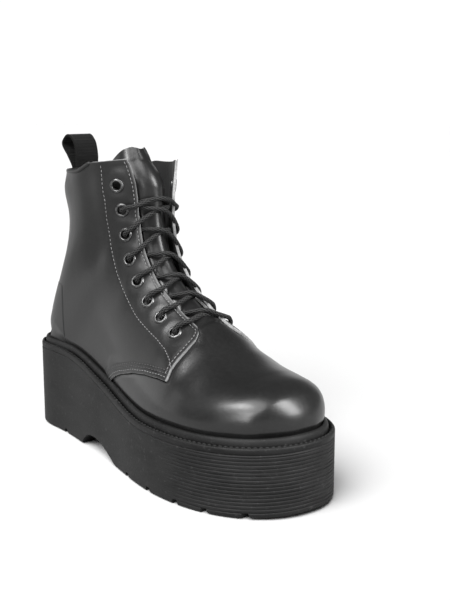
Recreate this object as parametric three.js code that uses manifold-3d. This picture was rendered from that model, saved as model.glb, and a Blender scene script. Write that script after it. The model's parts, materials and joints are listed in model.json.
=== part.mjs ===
// Platform boot, right foot: millimetres, +Z up, +X to the toe, +Y to the wearer's left (medial).
// The origin is the middle of the sole's footprint, on the floor.
import * as THREE from 'three';
import { mergeVertices } from 'three/addons/utils/BufferGeometryUtils.js';
import Module from 'manifold-3d';

const wasm = await Module();
wasm.setup();

// ---------------------------------------------------------------- driving sizes
const LENGTH = 282;          // sole, heel to toe
const BALL_WIDTH = 111.6;    // sole, widest
const HEEL_HEIGHT = 65.9;    // rim above the floor at the heel
const FORE_HEIGHT = 44.4;    // rim above the floor at the forefoot
const GAP = 0.3;             // between two pieces that meet
const WALL = 2;              // leather and lining together
const INSOLE = { thick: 4, margin: 3, heelMargin: 5.4 };
const WELT_BAND = 4.2;       // height of the band at the rim
const WELT_RIDGE = 4.3;      // ridge round the upper, above the rim
const RIDGE_WIDTH = 3.2;
const TUCK = 0.8;            // the upper is drawn this far past its foot, then cut level
const MARGIN = { heel: 6, toe: 8 };
const LACE = 1.6;            // radius of the cord
const EYELET = { hole: 3.8, flange: 5.3, bore: 2.9, stem: 3.4, lift: 1, height: 1.1 };
const EYELETS = 8;
const AROUND = 76;           // points round a sole outline

const HALF = LENGTH / 2;
const HALF_BALL = BALL_WIDTH / 2;

// One row a side: where the heel and toe rounds start, and the half widths between them.
const OUTLINE = {
  lateral: { heelX: -105.6, heel: 32.6, waist: 41.3, ballX: 58.6, ball: HALF_BALL },
  medial: { heelX: -105.6, heel: 39.5, waist: 34.5, ballX: 56.4, ball: HALF_BALL },
};
const HEEL_POWER = 2.95;
const TOE_POWER = 2.18;
const TOE_SWING = { from: 20, by: 3.6 };       // the toe bends to the medial side
const RIM_FALL = { from: -90, to: 39 };        // the rim drops between these places
const RIM_SPRING = { from: 60, by: 2.8 };
const TREAD_SPRING = { from: 85, by: 2.1 };

// Arch under the waist, seen from the side: heel breast, roof, and long slope to the forefoot.
const ARCH = [
  { x: -64, z: -1 }, { x: -58, z: 6 }, { x: -50, z: 10.5 }, { x: -40, z: 11.6 }, { x: -29, z: 10.4 },
  { x: 0, z: -1 },
];
const LUG_GAPS = { width: 4, depth: 3.6, heel: [-90], fore: [16, 46, 74, 97, 121] };

// Sections of the upper from the toe to the collar. Each lies in a plane across the boot:
// base (on the sole edge, or up the back seam where baseZ is given), crest, half widths to the
// lateral and medial side at the height share `at`, powers of the low and high rounds, and the
// y of the crest.
const COLUMNS = ['baseX', 'baseZ', 'crestX', 'crestZ', 'lateral', 'medial', 'at', 'low', 'high', 'mid'];
const SECTIONS = [
  [133.0, null, 133.0, 41.4, 0, 0, 0.4, 1.5, 2.0, 5.1],
  [132.2, null, 133.6, 52.0, 1.5, 11.5, 0.4, 1.5, 2.2, 5.0],
  [130.0, null, 133.8, 60.5, 8.5, 16.5, 0.4, 1.5, 2.2, 4.8],
  [125.0, null, 131.0, 68.3, 18.5, 25, 0.38, 1.5, 2.2, 4.4],
  [117.0, null, 125.5, 75.0, 30, 32.8, 0.36, 1.5, 2.2, 4.0],
  [106.0, null, 116.0, 79.8, 37.2, 40.2, 0.34, 1.5, 2.15, 3.5],
  [92.0, null, 102.0, 82.3, 44.0, 45.0, 0.32, 1.5, 2.05, 3.0],
  [77.0, null, 86.0, 85.4, 47.6, 48.0, 0.3, 1.5, 1.95, 2.6],
  [60.0, null, 69.0, 91.7, 49.0, 49.2, 0.27, 1.5, 1.87, 2.2],
  [43.0, null, 52.5, 101.6, 48.8, 47.6, 0.24, 1.5, 1.8, 2.0],
  [25.0, null, 36.5, 110.8, 46.8, 43.0, 0.22, 1.5, 1.8, 1.8],
  [5.0, null, 21.0, 121.0, 43.4, 37.2, 0.22, 1.5, 1.78, 1.7],
  [-18.0, null, 6.5, 132.5, 39.4, 33.2, 0.24, 1.5, 1.8, 1.6],
  [-45.0, null, -3.5, 145.5, 35.0, 32.4, 0.3, 1.5, 1.85, 1.5],
  [-75.0, null, -9.5, 157.0, 32.0, 33.8, 0.36, 1.5, 1.9, 1.5],
  [-102.0, null, -11.5, 166.0, 31.0, 35.2, 0.42, 1.6, 1.95, 1.5],
  [-122.0, null, -12.3, 173.0, 31.0, 35.4, 0.45, 2.2, 2.0, 1.5],
  [-135.0, 60.6, -12.8, 179.0, 30.2, 35.0, 0.48, 3.8, 2.0, 2.0],
  [-134.5, 80.0, -13.0, 185.0, 30.6, 34.8, 0.5, 2.8, 2.05, 2.0],
  [-120.5, 107.0, -13.2, 190.0, 31.4, 34.8, 0.5, 2.4, 2.05, 1.8],
  [-109.8, 132.0, -13.5, 195.0, 32.4, 35.2, 0.5, 2.2, 2.1, 1.6],
  [-105.2, 157.0, -13.8, 199.5, 33.4, 36.2, 0.5, 2.1, 2.1, 1.5],
  [-107.5, 180.0, -14.0, 203.0, 34.2, 37.0, 0.5, 2.1, 2.1, 1.5],
  [-106.5, 200.5, -14.0, 205.0, 35.0, 38.0, 0.5, 2.1, 2.1, 1.5],
  [-105.0, 216.0, -14.0, 219.0, 35.6, 38.6, 0.5, 2.1, 2.1, 1.5],
];
const HEEL_ROW = 17;         // here the base leaves the sole and climbs the back seam
const COLLAR_ROW = 23;
const COLLAR_STEP = { from: -78, to: -44, by: 8 };   // the collar's front stands higher
const FADE = { from: 17, to: 23 };                   // rows over which that step comes in

// Half width of the throat, by section row.
const THROAT = [
  { row: 9.5, half: 13 }, { row: 12, half: 15 }, { row: 16, half: 16 }, { row: 20, half: 17.3 },
  { row: 24, half: 24 },
];
const EYELET_LINE = { inset: 13.6, fromCollar: { [-1]: 18, [1]: 21.5 }, pitch: 17.7 };
const TOP_RISE = 0.45;        // the top lace pair runs nearly level, this many section rows up

const TONGUE = {
  low: 8.7, top: 23.5, drop: 0.45, reach: 30, baseReach: 21, depth: WALL + 1, thick: 3,
  lean: 12, shift: -9, leanFrom: 19, wing: 14, wingDrop: 0.7,
};
const HEEL_SAG = 2.2;        // the collar curves this far forward across the loop's width
const LOOP = { width: 19.5, thick: 1.8, rise: 27, tail: 14, bulge: 5, lean: 7 };

const COLOURS = {
  leather: 0x2c2c2e, rubber: 0x262627, insole: 0x3a3836, webbing: 0x18181a, cord: 0x111112,
  metal: 0x2b2b2e,
};

// ---------------------------------------------------------------- small helpers
const clamp01 = (t) => Math.min(1, Math.max(0, t));
const lerp = (a, b, t) => a + (b - a) * t;

function smooth(from, to, x) {
  const t = clamp01((x - from) / (to - from));
  return t * t * (3 - 2 * t);
}

function material(colour, roughness = 0.6, metalness = 0) {
  return new THREE.MeshStandardMaterial({ color: colour, roughness, metalness });
}

function rimZ(x) {
  const spring = RIM_SPRING.by * clamp01((x - RIM_SPRING.from) / (HALF - RIM_SPRING.from)) ** 2;
  return lerp(HEEL_HEIGHT, FORE_HEIGHT, smooth(RIM_FALL.from, RIM_FALL.to, x)) + spring;
}

const soleTopZ = (x) => rimZ(x) - WELT_BAND - GAP;
const treadZ = (x) => TREAD_SPRING.by * clamp01((x - TREAD_SPRING.from) / (HALF - TREAD_SPRING.from)) ** 2;

// ---------------------------------------------------------------- sole outline
function waistCurve(side, x) {
  const middle = (side.heelX + side.ballX) / 2 - 8;
  const slope = 0.9 * (side.ball - side.heel) / (side.ballX - side.heelX);
  const low = x < middle;
  const [x0, x1] = low ? [side.heelX, middle] : [middle, side.ballX];
  const [w0, w1] = low ? [side.heel, side.waist] : [side.waist, side.ball];
  const [s0, s1] = low ? [0, slope] : [slope, 0];
  const t = (x - x0) / (x1 - x0);
  const span = x1 - x0;
  const h = t * t * (3 - 2 * t);
  return lerp(w0, w1, h) + span * (s0 * t * (1 - t) ** 2 - s1 * t * t * (1 - t));
}

function halfWidth(side, x) {
  if (x < side.heelX) {
    const t = (side.heelX - x) / (side.heelX + HALF);
    return side.heel * Math.max(0, 1 - t ** HEEL_POWER) ** (1 / HEEL_POWER);
  }
  if (x > side.ballX) {
    const t = (x - side.ballX) / (HALF - side.ballX);
    return side.ball * Math.max(0, 1 - t ** TOE_POWER) ** (1 / TOE_POWER);
  }
  return waistCurve(side, x);
}

function midline(x) {
  const heel = (OUTLINE.medial.heel - OUTLINE.lateral.heel) / 2;
  const swing = TOE_SWING.by * clamp01((x - TOE_SWING.from) / (HALF - TOE_SWING.from)) ** 2;
  return swing + heel * (1 - smooth(-HALF, OUTLINE.lateral.heelX, x)) + 1.5 * smooth(90, HALF, x);
}

function edgeY(side, x) {
  const swing = TOE_SWING.by * clamp01((x - TOE_SWING.from) / (HALF - TOE_SWING.from)) ** 2;
  const ends = midline(x) - swing;
  const sign = side === OUTLINE.medial ? 1 : -1;
  return swing + ends * (1 - clamp01(halfWidth(side, x) / 20)) + sign * halfWidth(side, x);
}

// Points round the sole, from the middle of the heel by the lateral side to the toe and back.
function outlineRing() {
  return Array.from({ length: AROUND }, (_, i) => {
    const turn = (2 * Math.PI * i) / AROUND;
    const x = -HALF * Math.cos(turn);
    return new THREE.Vector2(x, edgeY(turn <= Math.PI ? OUTLINE.lateral : OUTLINE.medial, x));
  });
}

function insetRing(ring, inset) {
  return ring.map((p, i) => {
    const before = ring[(i + AROUND - 1) % AROUND];
    const after = ring[(i + 1) % AROUND];
    const along = after.clone().sub(before).normalize();
    const depth = typeof inset === 'number' ? inset : inset(p.x);
    return new THREE.Vector2(p.x - along.y * depth, p.y + along.x * depth);
  });
}

const SOLE_RING = outlineRing();
const marginAt = (x) => lerp(MARGIN.heel, MARGIN.toe, clamp01((x + 100) / 200));
const FEATHER_RING = insetRing(SOLE_RING, marginAt);

function featherY(x, sign) {
  const half = AROUND / 2;
  const side = Array.from({ length: half + 1 }, (_, i) => FEATHER_RING[sign < 0 ? i : (AROUND - i) % AROUND]);
  if (x <= side[0].x) return side[0].y;
  if (x >= side[half].x) return side[half].y;
  const next = side.findIndex((p) => p.x > x);
  const a = side[next - 1];
  const b = side[next];
  return lerp(a.y, b.y, (x - a.x) / (b.x - a.x));
}

// ---------------------------------------------------------------- surface of the last
const ROWS = SECTIONS.map((row) => Object.fromEntries(COLUMNS.map((name, i) => [name, row[i]])));
ROWS.forEach((row) => {
  row.baseZ ??= soleTopZ(row.baseX) - TUCK;
});

function valueAt(name, v) {
  const last = ROWS.length - 1;
  const i = Math.min(last - 1, Math.max(0, Math.floor(v)));
  const t = v - i;
  const [p0, p1, p2, p3] = [i - 1, i, i + 1, i + 2].map((k) => ROWS[Math.min(last, Math.max(0, k))][name]);
  const m1 = (p2 - p0) / 2;
  const m2 = (p3 - p1) / 2;
  return p1 + t * m1 + t * t * (3 * (p2 - p1) - 2 * m1 - m2) + t ** 3 * (2 * (p1 - p2) + m1 + m2);
}

function readSection(v) {
  const s = Object.fromEntries(COLUMNS.map((name) => [name, valueAt(name, v)]));
  s.onSole = v <= HEEL_ROW;
  if (s.onSole) s.baseZ = soleTopZ(s.baseX) - TUCK;
  s.rise = COLLAR_STEP.by * smooth(FADE.from, FADE.to, v);
  return s;
}

const STEPS = 48;
const sideCache = new Map();

// One side of a section, as points from the base to the crest.
function sectionSide(v, sign) {
  const key = `${v.toFixed(5)}/${sign}`;
  if (sideCache.has(key)) return sideCache.get(key);
  const s = readSection(v);
  const wide = sign < 0 ? -s.lateral : s.medial;
  const foot = s.onSole ? featherY(s.baseX, sign) : s.mid;
  const points = Array.from({ length: STEPS + 1 }, (_, i) => {
    const turn = (Math.PI * i) / STEPS;
    const low = turn < Math.PI / 2;
    const c = Math.abs(Math.cos(turn)) ** (2 / (low ? s.low : s.high));
    const h = Math.sin(turn) ** (2 / (low ? s.low : s.high));
    const share = low ? s.at * (1 - c) : s.at + (1 - s.at) * c;
    const y = low ? lerp(foot, wide, h) : lerp(s.mid, wide, h);
    const x = lerp(s.baseX, s.crestX, share);
    const z = lerp(s.baseZ, s.crestZ, share) + s.rise * smooth(COLLAR_STEP.from, COLLAR_STEP.to, x);
    return new THREE.Vector3(x, y, z);
  });
  const lengths = [0];
  points.slice(1).forEach((p, i) => lengths.push(lengths[i] + p.distanceTo(points[i])));
  const side = { points, lengths, total: lengths[STEPS] };
  sideCache.set(key, side);
  return side;
}

// Point on the last: v is the section row, t runs from -1 (lateral base) by 0 (crest) to 1.
function lastPoint(v, t) {
  const side = sectionSide(v, t < 0 ? -1 : 1);
  const goal = (1 - Math.abs(t)) * side.total;
  const next = Math.max(1, side.lengths.findIndex((d) => d >= goal - 1e-9));
  const span = side.lengths[next] - side.lengths[next - 1];
  const part = span > 1e-9 ? (goal - side.lengths[next - 1]) / span : 0;
  return side.points[next - 1].clone().lerp(side.points[next], clamp01(part));
}

function lastNormal(v, t) {
  const d = 0.01;
  const t0 = Math.max(-1, t - d);
  const t1 = Math.min(1, t + d);
  const v1 = Math.min(ROWS.length - 1, v + 0.05);
  const across = lastPoint(v, t1).sub(lastPoint(v, t0));
  const along = lastPoint(v1, t).sub(lastPoint(Math.max(0, v1 - 0.1), t));
  return across.cross(along).normalize();
}

function offLast(v, t, height) {
  return lastPoint(v, t).addScaledVector(lastNormal(v, t), height);
}

// t of the place on a section that lies `reach` mm along the leather from the crest.
function crestShare(v, reach) {
  return reach / sectionSide(v, reach < 0 ? -1 : 1).total;
}

function throatHalf(v) {
  const next = Math.max(1, THROAT.findIndex((p) => p.row >= v));
  const a = THROAT[next - 1];
  const b = THROAT[next];
  return lerp(a.half, b.half, clamp01((v - a.row) / (b.row - a.row)));
}

// ---------------------------------------------------------------- closed meshes from grids
function meshFrom(positions, index) {
  const geometry = new THREE.BufferGeometry();
  geometry.setAttribute('position', new THREE.Float32BufferAttribute(positions, 3));
  geometry.setIndex(index);
  return geometry;
}

function grid(rows, columns, pointAt) {
  return Array.from({ length: rows + 1 }, (_, j) => (
    Array.from({ length: columns + 1 }, (_unused, i) => pointAt(j, i))
  ));
}

const flat = (points) => points.flatMap((p) => [p.x, p.y, p.z]);

// Skin over rows of equal length; `around` joins each row's end to its start.
function skin(rows, around, flip = false) {
  const n = rows[0].length;
  const index = [];
  for (let j = 0; j + 1 < rows.length; j += 1) {
    for (let i = 0; i < (around ? n : n - 1); i += 1) {
      const a = j * n + i;
      const b = j * n + ((i + 1) % n);
      const quad = [a, b, b + n, a, b + n, a + n];
      index.push(...(flip ? quad.reverse() : quad));
    }
  }
  return { points: rows.flat(), index };
}

function joinSkins(skins) {
  const positions = [];
  const index = [];
  skins.forEach((s) => {
    const start = positions.length / 3;
    positions.push(...flat(s.points));
    index.push(...s.index.map((i) => i + start));
  });
  return meshFrom(positions, index);
}

// Slab with the same grid on both faces, and a rim between them.
function slab(top, under) {
  const edge = (rows) => [
    ...rows[0], ...rows.slice(1).map((r) => r.at(-1)),
    ...rows.at(-1).slice(0, -1).reverse(), ...rows.slice(1, -1).map((r) => r[0]).reverse(),
  ];
  return joinSkins([skin(top, false), skin(under, false, true), skin([edge(under), edge(top)], true)]);
}

function ringAt(ring, height) {
  return ring.map((p) => new THREE.Vector3(p.x, p.y, typeof height === 'number' ? height : height(p.x)));
}

// Flat-ended body through outline rings, its two ends closed by strips from side to side.
function stack(rings) {
  const cap = (ring, flip) => {
    const half = AROUND / 2;
    const lateral = ring.slice(0, half + 1);
    const medial = [ring[0], ...ring.slice(half).reverse()];
    return skin([lateral, medial], false, flip);
  };
  return joinSkins([skin(rings, true), cap(rings[0], true), cap(rings.at(-1), false)]);
}

function toManifold(geometry) {
  const clean = geometry.clone();
  ['normal', 'uv'].forEach((name) => clean.deleteAttribute(name));
  const welded = mergeVertices(clean, 1e-4);
  const order = welded.index.array;
  const triVerts = [];
  for (let i = 0; i < order.length; i += 3) {
    const [a, b, c] = order.slice(i, i + 3);
    if (a !== b && b !== c && c !== a) triVerts.push(a, b, c);
  }
  const mesh = new wasm.Mesh({
    numProp: 3,
    vertProperties: new Float32Array(welded.attributes.position.array),
    triVerts: new Uint32Array(triVerts),
  });
  mesh.merge();
  return new wasm.Manifold(mesh);
}

function fromManifold(solid) {
  const mesh = solid.getMesh();
  return meshFrom(Array.from(mesh.vertProperties), Array.from(mesh.triVerts));
}

function addMesh(group, name, solid, look) {
  const geometry = fromManifold(solid);
  geometry.computeVertexNormals();
  const mesh = new THREE.Mesh(geometry, look);
  mesh.name = name;
  group.add(mesh);
}

// Bar across the boot with the given side view, from y = -reach to y = reach.
function crossBar(profile, reach) {
  const shape = new THREE.Shape(profile.map((p) => new THREE.Vector2(p.x, p.z)));
  const geometry = new THREE.ExtrudeGeometry(shape, { depth: 2 * reach, bevelEnabled: false });
  geometry.rotateX(Math.PI / 2);
  geometry.translate(0, reach, 0);
  return toManifold(geometry);
}

// ---------------------------------------------------------------- bottom unit
function sole() {
  const rings = [
    ringAt(insetRing(SOLE_RING, 1.6), treadZ),
    ringAt(SOLE_RING, (x) => treadZ(x) + 1.8),
    ringAt(SOLE_RING, soleTopZ),
  ];
  let solid = toManifold(stack(rings)).subtract(crossBar(ARCH, 80));
  const { width, depth, heel, fore } = LUG_GAPS;
  [...heel, ...fore].forEach((x) => {
    const roof = depth + treadZ(x);
    const gap = [
      { x: x - width / 2 - 1, z: -1 }, { x: x - width / 2, z: roof },
      { x: x + width / 2, z: roof }, { x: x + width / 2 + 1, z: -1 },
    ];
    solid = solid.subtract(crossBar(gap, 80));
  });
  return solid;
}

function welt() {
  const inner = insetRing(FEATHER_RING, -GAP);
  const ridge = insetRing(FEATHER_RING, -GAP - RIDGE_WIDTH);
  const lip = insetRing(SOLE_RING, 0.9);
  const bottom = (x) => rimZ(x) - WELT_BAND;
  const crown = (x) => rimZ(x) + WELT_RIDGE;
  const loops = [
    ringAt(SOLE_RING, bottom),
    ringAt(SOLE_RING, (x) => rimZ(x) - 0.9),
    ringAt(lip, rimZ),
    ringAt(ridge, (x) => rimZ(x) - 0.4),
    ringAt(insetRing(FEATHER_RING, -GAP - RIDGE_WIDTH + 1.2), crown),
    ringAt(inner, crown),
    ringAt(inner, bottom),
    ringAt(SOLE_RING, bottom),
  ];
  return toManifold(joinSkins([skin(loops, true)])).subtract(lastSolid(GAP)).subtract(lastSolid(0));
}

// Everything up to the sole's top plus the gap that the upper keeps from it.
function soleClearance() {
  return toManifold(stack([ringAt(SOLE_RING, -1), ringAt(SOLE_RING, (x) => soleTopZ(x) + GAP)]));
}

function insole() {
  const { thick, margin, heelMargin } = INSOLE;
  const ring = insetRing(FEATHER_RING, (x) => lerp(heelMargin, margin, smooth(-128, -100, x)));
  const low = (x) => soleTopZ(x) + GAP;
  return toManifold(stack([ringAt(ring, low), ringAt(ring, (x) => low(x) + thick)]));
}

// ---------------------------------------------------------------- upper
const COLUMN_COUNT = 28;
const UPPER_ROWS = [0, 0.5, 1, 1.6, 2.3, 3, 3.8, 4.6, 5.5, 6.5, 7.5, 8.5, 9.5, 10.5, 11.5, 12.5, 13.5, 14.5,
  15.3, 15.9, 16.3, 16.6, 16.8, 17, 17.3, 18, 18.5, 19, 19.7, 20.4, 21.1, 21.8, 22.4, 23];

function upperRows(depth) {
  return grid(UPPER_ROWS.length - 1, COLUMN_COUNT, (j, i) => (
    offLast(UPPER_ROWS[j], -1 + (2 * i) / COLUMN_COUNT, -depth)
  ));
}

function shell() {
  const outer = upperRows(0);
  const inner = upperRows(WALL);
  closeSeam(outer);
  closeSeam(inner);
  const open = UPPER_ROWS.filter((v) => v <= HEEL_ROW).length;
  const edge = (rows, pick) => rows.slice(0, open).map(pick);
  return toManifold(joinSkins([
    skin(outer, false),
    skin(inner, false, true),
    skin([edge(outer, (r) => r[0]), edge(inner, (r) => r[0])], false),
    skin([edge(outer, (r) => r.at(-1)), edge(inner, (r) => r.at(-1))], false, true),
    skin([outer.at(-1), inner.at(-1)], false),
  ]));
}

// The two ends of a row are one point at the toe tip and up the back seam.
function closeSeam(rows) {
  rows[0].forEach((p) => p.copy(rows[0][COLUMN_COUNT / 2]));
  rows.forEach((row, j) => {
    if (UPPER_ROWS[j] < HEEL_ROW) return;
    const middle = row[0].clone().lerp(row.at(-1), 0.5);
    row[0].copy(middle);
    row.at(-1).copy(middle);
  });
}

// Filled last, its skin moved out by `height`.
function lastSolid(height) {
  const rows = upperRows(-height);
  closeSeam(rows);
  const onSole = rows.filter((_, j) => UPPER_ROWS[j] <= HEEL_ROW);
  const half = COLUMN_COUNT / 2;
  const collar = rows.at(-1);
  return toManifold(joinSkins([
    skin(rows, false),
    skin([onSole.map((r) => r[0]), onSole.map((r) => r.at(-1))], false),
    skin([collar.slice(0, half + 1), collar.slice(half).reverse()], false),
  ]));
}

function throatCutter() {
  const face = (height) => grid(20, 2, (j, i) => {
    const v = lerp(THROAT[0].row, COLLAR_ROW + 0.9, j / 20);
    return offLast(v, crestShare(v, (i - 1) * throatHalf(v)), height);
  });
  return toManifold(slab(face(7), face(-7)));
}

// Places down one facing, a set distance behind the throat edge and a pitch apart.
function eyeletPlaces(sign) {
  const tOn = (v) => crestShare(v, sign * (throatHalf(v) + EYELET_LINE.inset));
  const places = [];
  let walked = 0;
  let last = lastPoint(COLLAR_ROW, tOn(COLLAR_ROW));
  for (let v = COLLAR_ROW; places.length < EYELETS; v -= 0.02) {
    const at = lastPoint(v, tOn(v));
    walked += at.distanceTo(last);
    last = at;
    if (walked >= EYELET_LINE.fromCollar[sign] + EYELET_LINE.pitch * places.length) {
      places.push({ at, out: lastNormal(v, tOn(v)), v });
    }
  }
  return places;
}

function turnedLathe(profile, place, segments) {
  const geometry = new THREE.LatheGeometry(profile.map(([r, h]) => new THREE.Vector2(r, h)), segments);
  const turn = new THREE.Quaternion().setFromUnitVectors(new THREE.Vector3(0, 1, 0), place.out);
  geometry.applyQuaternion(turn);
  geometry.translate(place.at.x, place.at.y, place.at.z);
  return toManifold(geometry);
}

function eachEyelet(action) {
  [['lateral', -1], ['medial', 1]].forEach(([side, sign]) => {
    eyeletPlaces(sign).forEach((place, k) => action(`eyelet_${side}_${k + 1}`, place));
  });
}

function upper() {
  let solid = shell().subtract(throatCutter()).subtract(soleClearance());
  eachEyelet((_, place) => {
    const drill = [[0, -7], [EYELET.hole, -7], [EYELET.hole, 5], [0, 5]];
    solid = solid.subtract(turnedLathe(drill, place, 8));
  });
  return solid;
}

function eyelet(place) {
  const { flange, bore, stem, lift, height } = EYELET;
  const profile = [
    [bore, -WALL], [stem, -WALL], [stem, lift], [flange, lift], [flange - 0.9, lift + height],
    [bore + 0.4, lift + height], [bore, -WALL],
  ];
  return turnedLathe(profile, place, 8);
}

// ---------------------------------------------------------------- tongue and pull loop
function tongue() {
  const { low, top, drop, reach, baseReach, depth, thick, lean, shift, leanFrom, wing, wingDrop } = TONGUE;
  const [across, along] = [8, 15];
  const face = (sink) => grid(along, across, (j, i) => {
    const k = -1 + (2 * i) / across;
    const lateral = smooth(0, 1, -k);
    const v = lerp(low, top - drop * k ** 4 - wingDrop * lateral, j / along);
    const back = smooth(leanFrom, top, v);
    const wide = lerp(baseReach, reach, smooth(low, 16, v)) + wing * back * lateral;
    return offLast(v, crestShare(v, k * wide + shift * back), -sink - lean * back);
  });
  return toManifold(slab(face(depth), face(depth + thick)));
}

// Webbing folded over the back of the collar; the open loop stands above it.
function pullLoop() {
  const { width, thick, rise, tail, bulge, lean } = LOOP;
  const back = lastPoint(COLLAR_ROW, -1);
  const mid = back.x + WALL / 2;
  const inner = WALL / 2 + GAP + 1.2;
  const clear = { [-1]: inner, [1]: inner + HEEL_SAG };
  const top = back.z + rise - thick;
  const centre = (side) => [
    new THREE.Vector2(mid + side * clear[side], back.z - tail),
    new THREE.Vector2(mid + side * clear[side], back.z + 1),
    new THREE.Vector2(mid + side * (inner + bulge * 0.7) - lean * 0.4, back.z + rise * 0.4),
    new THREE.Vector2(mid + side * (inner + bulge) - lean, top - bulge * 1.1),
  ];
  const crown = [-0.75, -0.4, 0, 0.4, 0.75].map((k) => new THREE.Vector2(
    mid - lean + k * (inner + bulge), top - bulge * 1.1 * k * k,
  ));
  const path = new THREE.CatmullRomCurve3(
    [...centre(-1), ...crown, ...centre(1).reverse()].map((p) => new THREE.Vector3(p.x, p.y, 0)),
    false, 'centripetal',
  );
  const line = path.getSpacedPoints(30);
  const offset = (d) => line.map((p, i) => {
    const a = line[Math.max(0, i - 1)];
    const b = line[Math.min(line.length - 1, i + 1)];
    const along = b.clone().sub(a).normalize();
    return new THREE.Vector3(p.x - along.y * d, 0, p.y + along.x * d);
  });
  return crossBar([...offset(thick), ...offset(0).reverse()], width / 2)
    .translate([0, back.y, 0]);
}

// ---------------------------------------------------------------- laces
function cordTube(points) {
  const path = new THREE.CatmullRomCurve3(points, false, 'centripetal');
  const ring = Array.from({ length: 6 }, (_, i) => new THREE.Vector2(
    LACE * Math.cos((i * Math.PI) / 3), LACE * Math.sin((i * Math.PI) / 3),
  ));
  const geometry = new THREE.ExtrudeGeometry(new THREE.Shape(ring), { steps: 8, extrudePath: path });
  return toManifold(geometry);
}

// One cord of a crossing: from beside an eyelet, over its facing, to the opposite throat edge.
function crossingRun(from, sign, end) {
  const start = from.v;
  const edge = throatHalf(start);
  const far = throatHalf(end);
  const stops = [
    { v: start, reach: sign * (edge + EYELET_LINE.inset - EYELET.flange - 2), height: LACE + 0.8 },
    { v: lerp(start, end, 0.2), reach: sign * (edge + 1), height: LACE + 0.7 },
    { v: lerp(start, end, 0.4), reach: sign * edge * 0.55, height: 0.9 },
    { v: lerp(start, end, 0.6), reach: 0, height: 0.5 },
    { v: lerp(start, end, 0.8), reach: -sign * far * 0.5, height: -0.2 },
    { v: lerp(start, end, 0.9), reach: -sign * (far - LACE - 1.8), height: -0.9 },
  ];
  return cordTube(stops.map((s) => offLast(s.v, crestShare(s.v, s.reach), s.height)));
}

function laceCrossing(k) {
  const lateral = eyeletPlaces(-1);
  const medial = eyeletPlaces(1);
  const end = (side) => (k > 1 ? side[k - 1].v : side[k].v + TOP_RISE);
  return crossingRun(lateral[k], -1, end(medial)).add(crossingRun(medial[k], 1, end(lateral)));
}

// The lowest cord runs straight across, under both facings.
function laceBar() {
  const { v } = eyeletPlaces(-1)[EYELETS - 1];
  const reach = throatHalf(v) - LACE - 0.8;
  return cordTube([-1, -0.4, 0.4, 1].map((k) => offLast(v, crestShare(v, k * reach), -0.3)));
}

// ---------------------------------------------------------------- the boot
const group = new THREE.Group();
group.name = 'platform_boot';
addMesh(group, 'sole', sole(), material(COLOURS.rubber, 0.75));
addMesh(group, 'welt', welt(), material(COLOURS.rubber, 0.7));
addMesh(group, 'insole', insole(), material(COLOURS.insole, 0.85));
addMesh(group, 'upper', upper(), material(COLOURS.leather, 0.42));
addMesh(group, 'tongue', tongue(), material(COLOURS.leather, 0.45));
addMesh(group, 'pull_loop', pullLoop(), material(COLOURS.webbing, 0.85));
eachEyelet((name, place) => addMesh(group, name, eyelet(place), material(COLOURS.metal, 0.3, 0.9)));
for (let k = EYELETS - 1; k >= 1; k -= 1) {
  addMesh(group, `lace_cross_${EYELETS - k}`, laceCrossing(k), material(COLOURS.cord, 0.8));
}
addMesh(group, 'lace_bar', laceBar(), material(COLOURS.cord, 0.8));

export default group;
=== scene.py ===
"""Platform boot, right foot, in black box leather on a moulded rubber unit.

The frame is in metres, +X to the toe, +Y to the wearer's left (medial), +Z up. Tables and sizes
below are in millimetres, as a last maker writes them, and the helpers that make pieces turn them
to metres. Only the lights, the textures and the floor are given in metres.
"""
import json
import math

import bmesh
import bpy
import numpy as np
from mathutils import Matrix, Vector, noise

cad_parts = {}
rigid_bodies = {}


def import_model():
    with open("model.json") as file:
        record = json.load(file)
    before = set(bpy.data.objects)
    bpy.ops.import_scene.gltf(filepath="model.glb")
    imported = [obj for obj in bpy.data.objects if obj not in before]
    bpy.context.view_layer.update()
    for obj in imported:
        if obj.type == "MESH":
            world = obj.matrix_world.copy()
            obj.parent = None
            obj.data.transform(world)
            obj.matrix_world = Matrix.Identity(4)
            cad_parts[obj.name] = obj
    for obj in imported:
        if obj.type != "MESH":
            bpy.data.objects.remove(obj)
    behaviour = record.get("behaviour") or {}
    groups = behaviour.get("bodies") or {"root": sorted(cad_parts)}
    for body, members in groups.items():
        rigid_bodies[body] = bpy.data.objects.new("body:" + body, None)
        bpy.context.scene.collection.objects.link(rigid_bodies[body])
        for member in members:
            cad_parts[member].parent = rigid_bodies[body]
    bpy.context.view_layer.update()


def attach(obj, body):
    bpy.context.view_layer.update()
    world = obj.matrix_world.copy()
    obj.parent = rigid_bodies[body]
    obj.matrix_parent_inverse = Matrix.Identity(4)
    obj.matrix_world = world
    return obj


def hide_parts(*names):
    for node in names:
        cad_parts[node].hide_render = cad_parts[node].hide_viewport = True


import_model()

MM = 0.001

# ---------------------------------------------------------------- driving sizes, millimetres
HALF = 141.0                     # half of the sole's length
HALF_BALL = 55.8                 # half of the sole's widest place
HEEL_HEIGHT, FORE_HEIGHT = 65.9, 44.4              # of the rim, at the heel and under the ball
GAP = 0.3                        # kept between pieces that rest on each other
WELT_BAND = 4.2                  # height of the welt's outer face
TUCK = 0.8                       # the upper's foot lies this far under the top of the sole
LATERAL, MEDIAL = -1, 1          # sides of the boot, as signs of Y
OUTLINE = {
    LATERAL: dict(heel_x=-105.6, heel=32.6, waist=41.3, ball_x=58.6, ball=HALF_BALL),
    MEDIAL: dict(heel_x=-105.6, heel=39.5, waist=34.5, ball_x=56.4, ball=HALF_BALL),
}
HEEL_POWER, TOE_POWER = 2.95, 2.18                 # of the superellipses that end the outline

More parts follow.
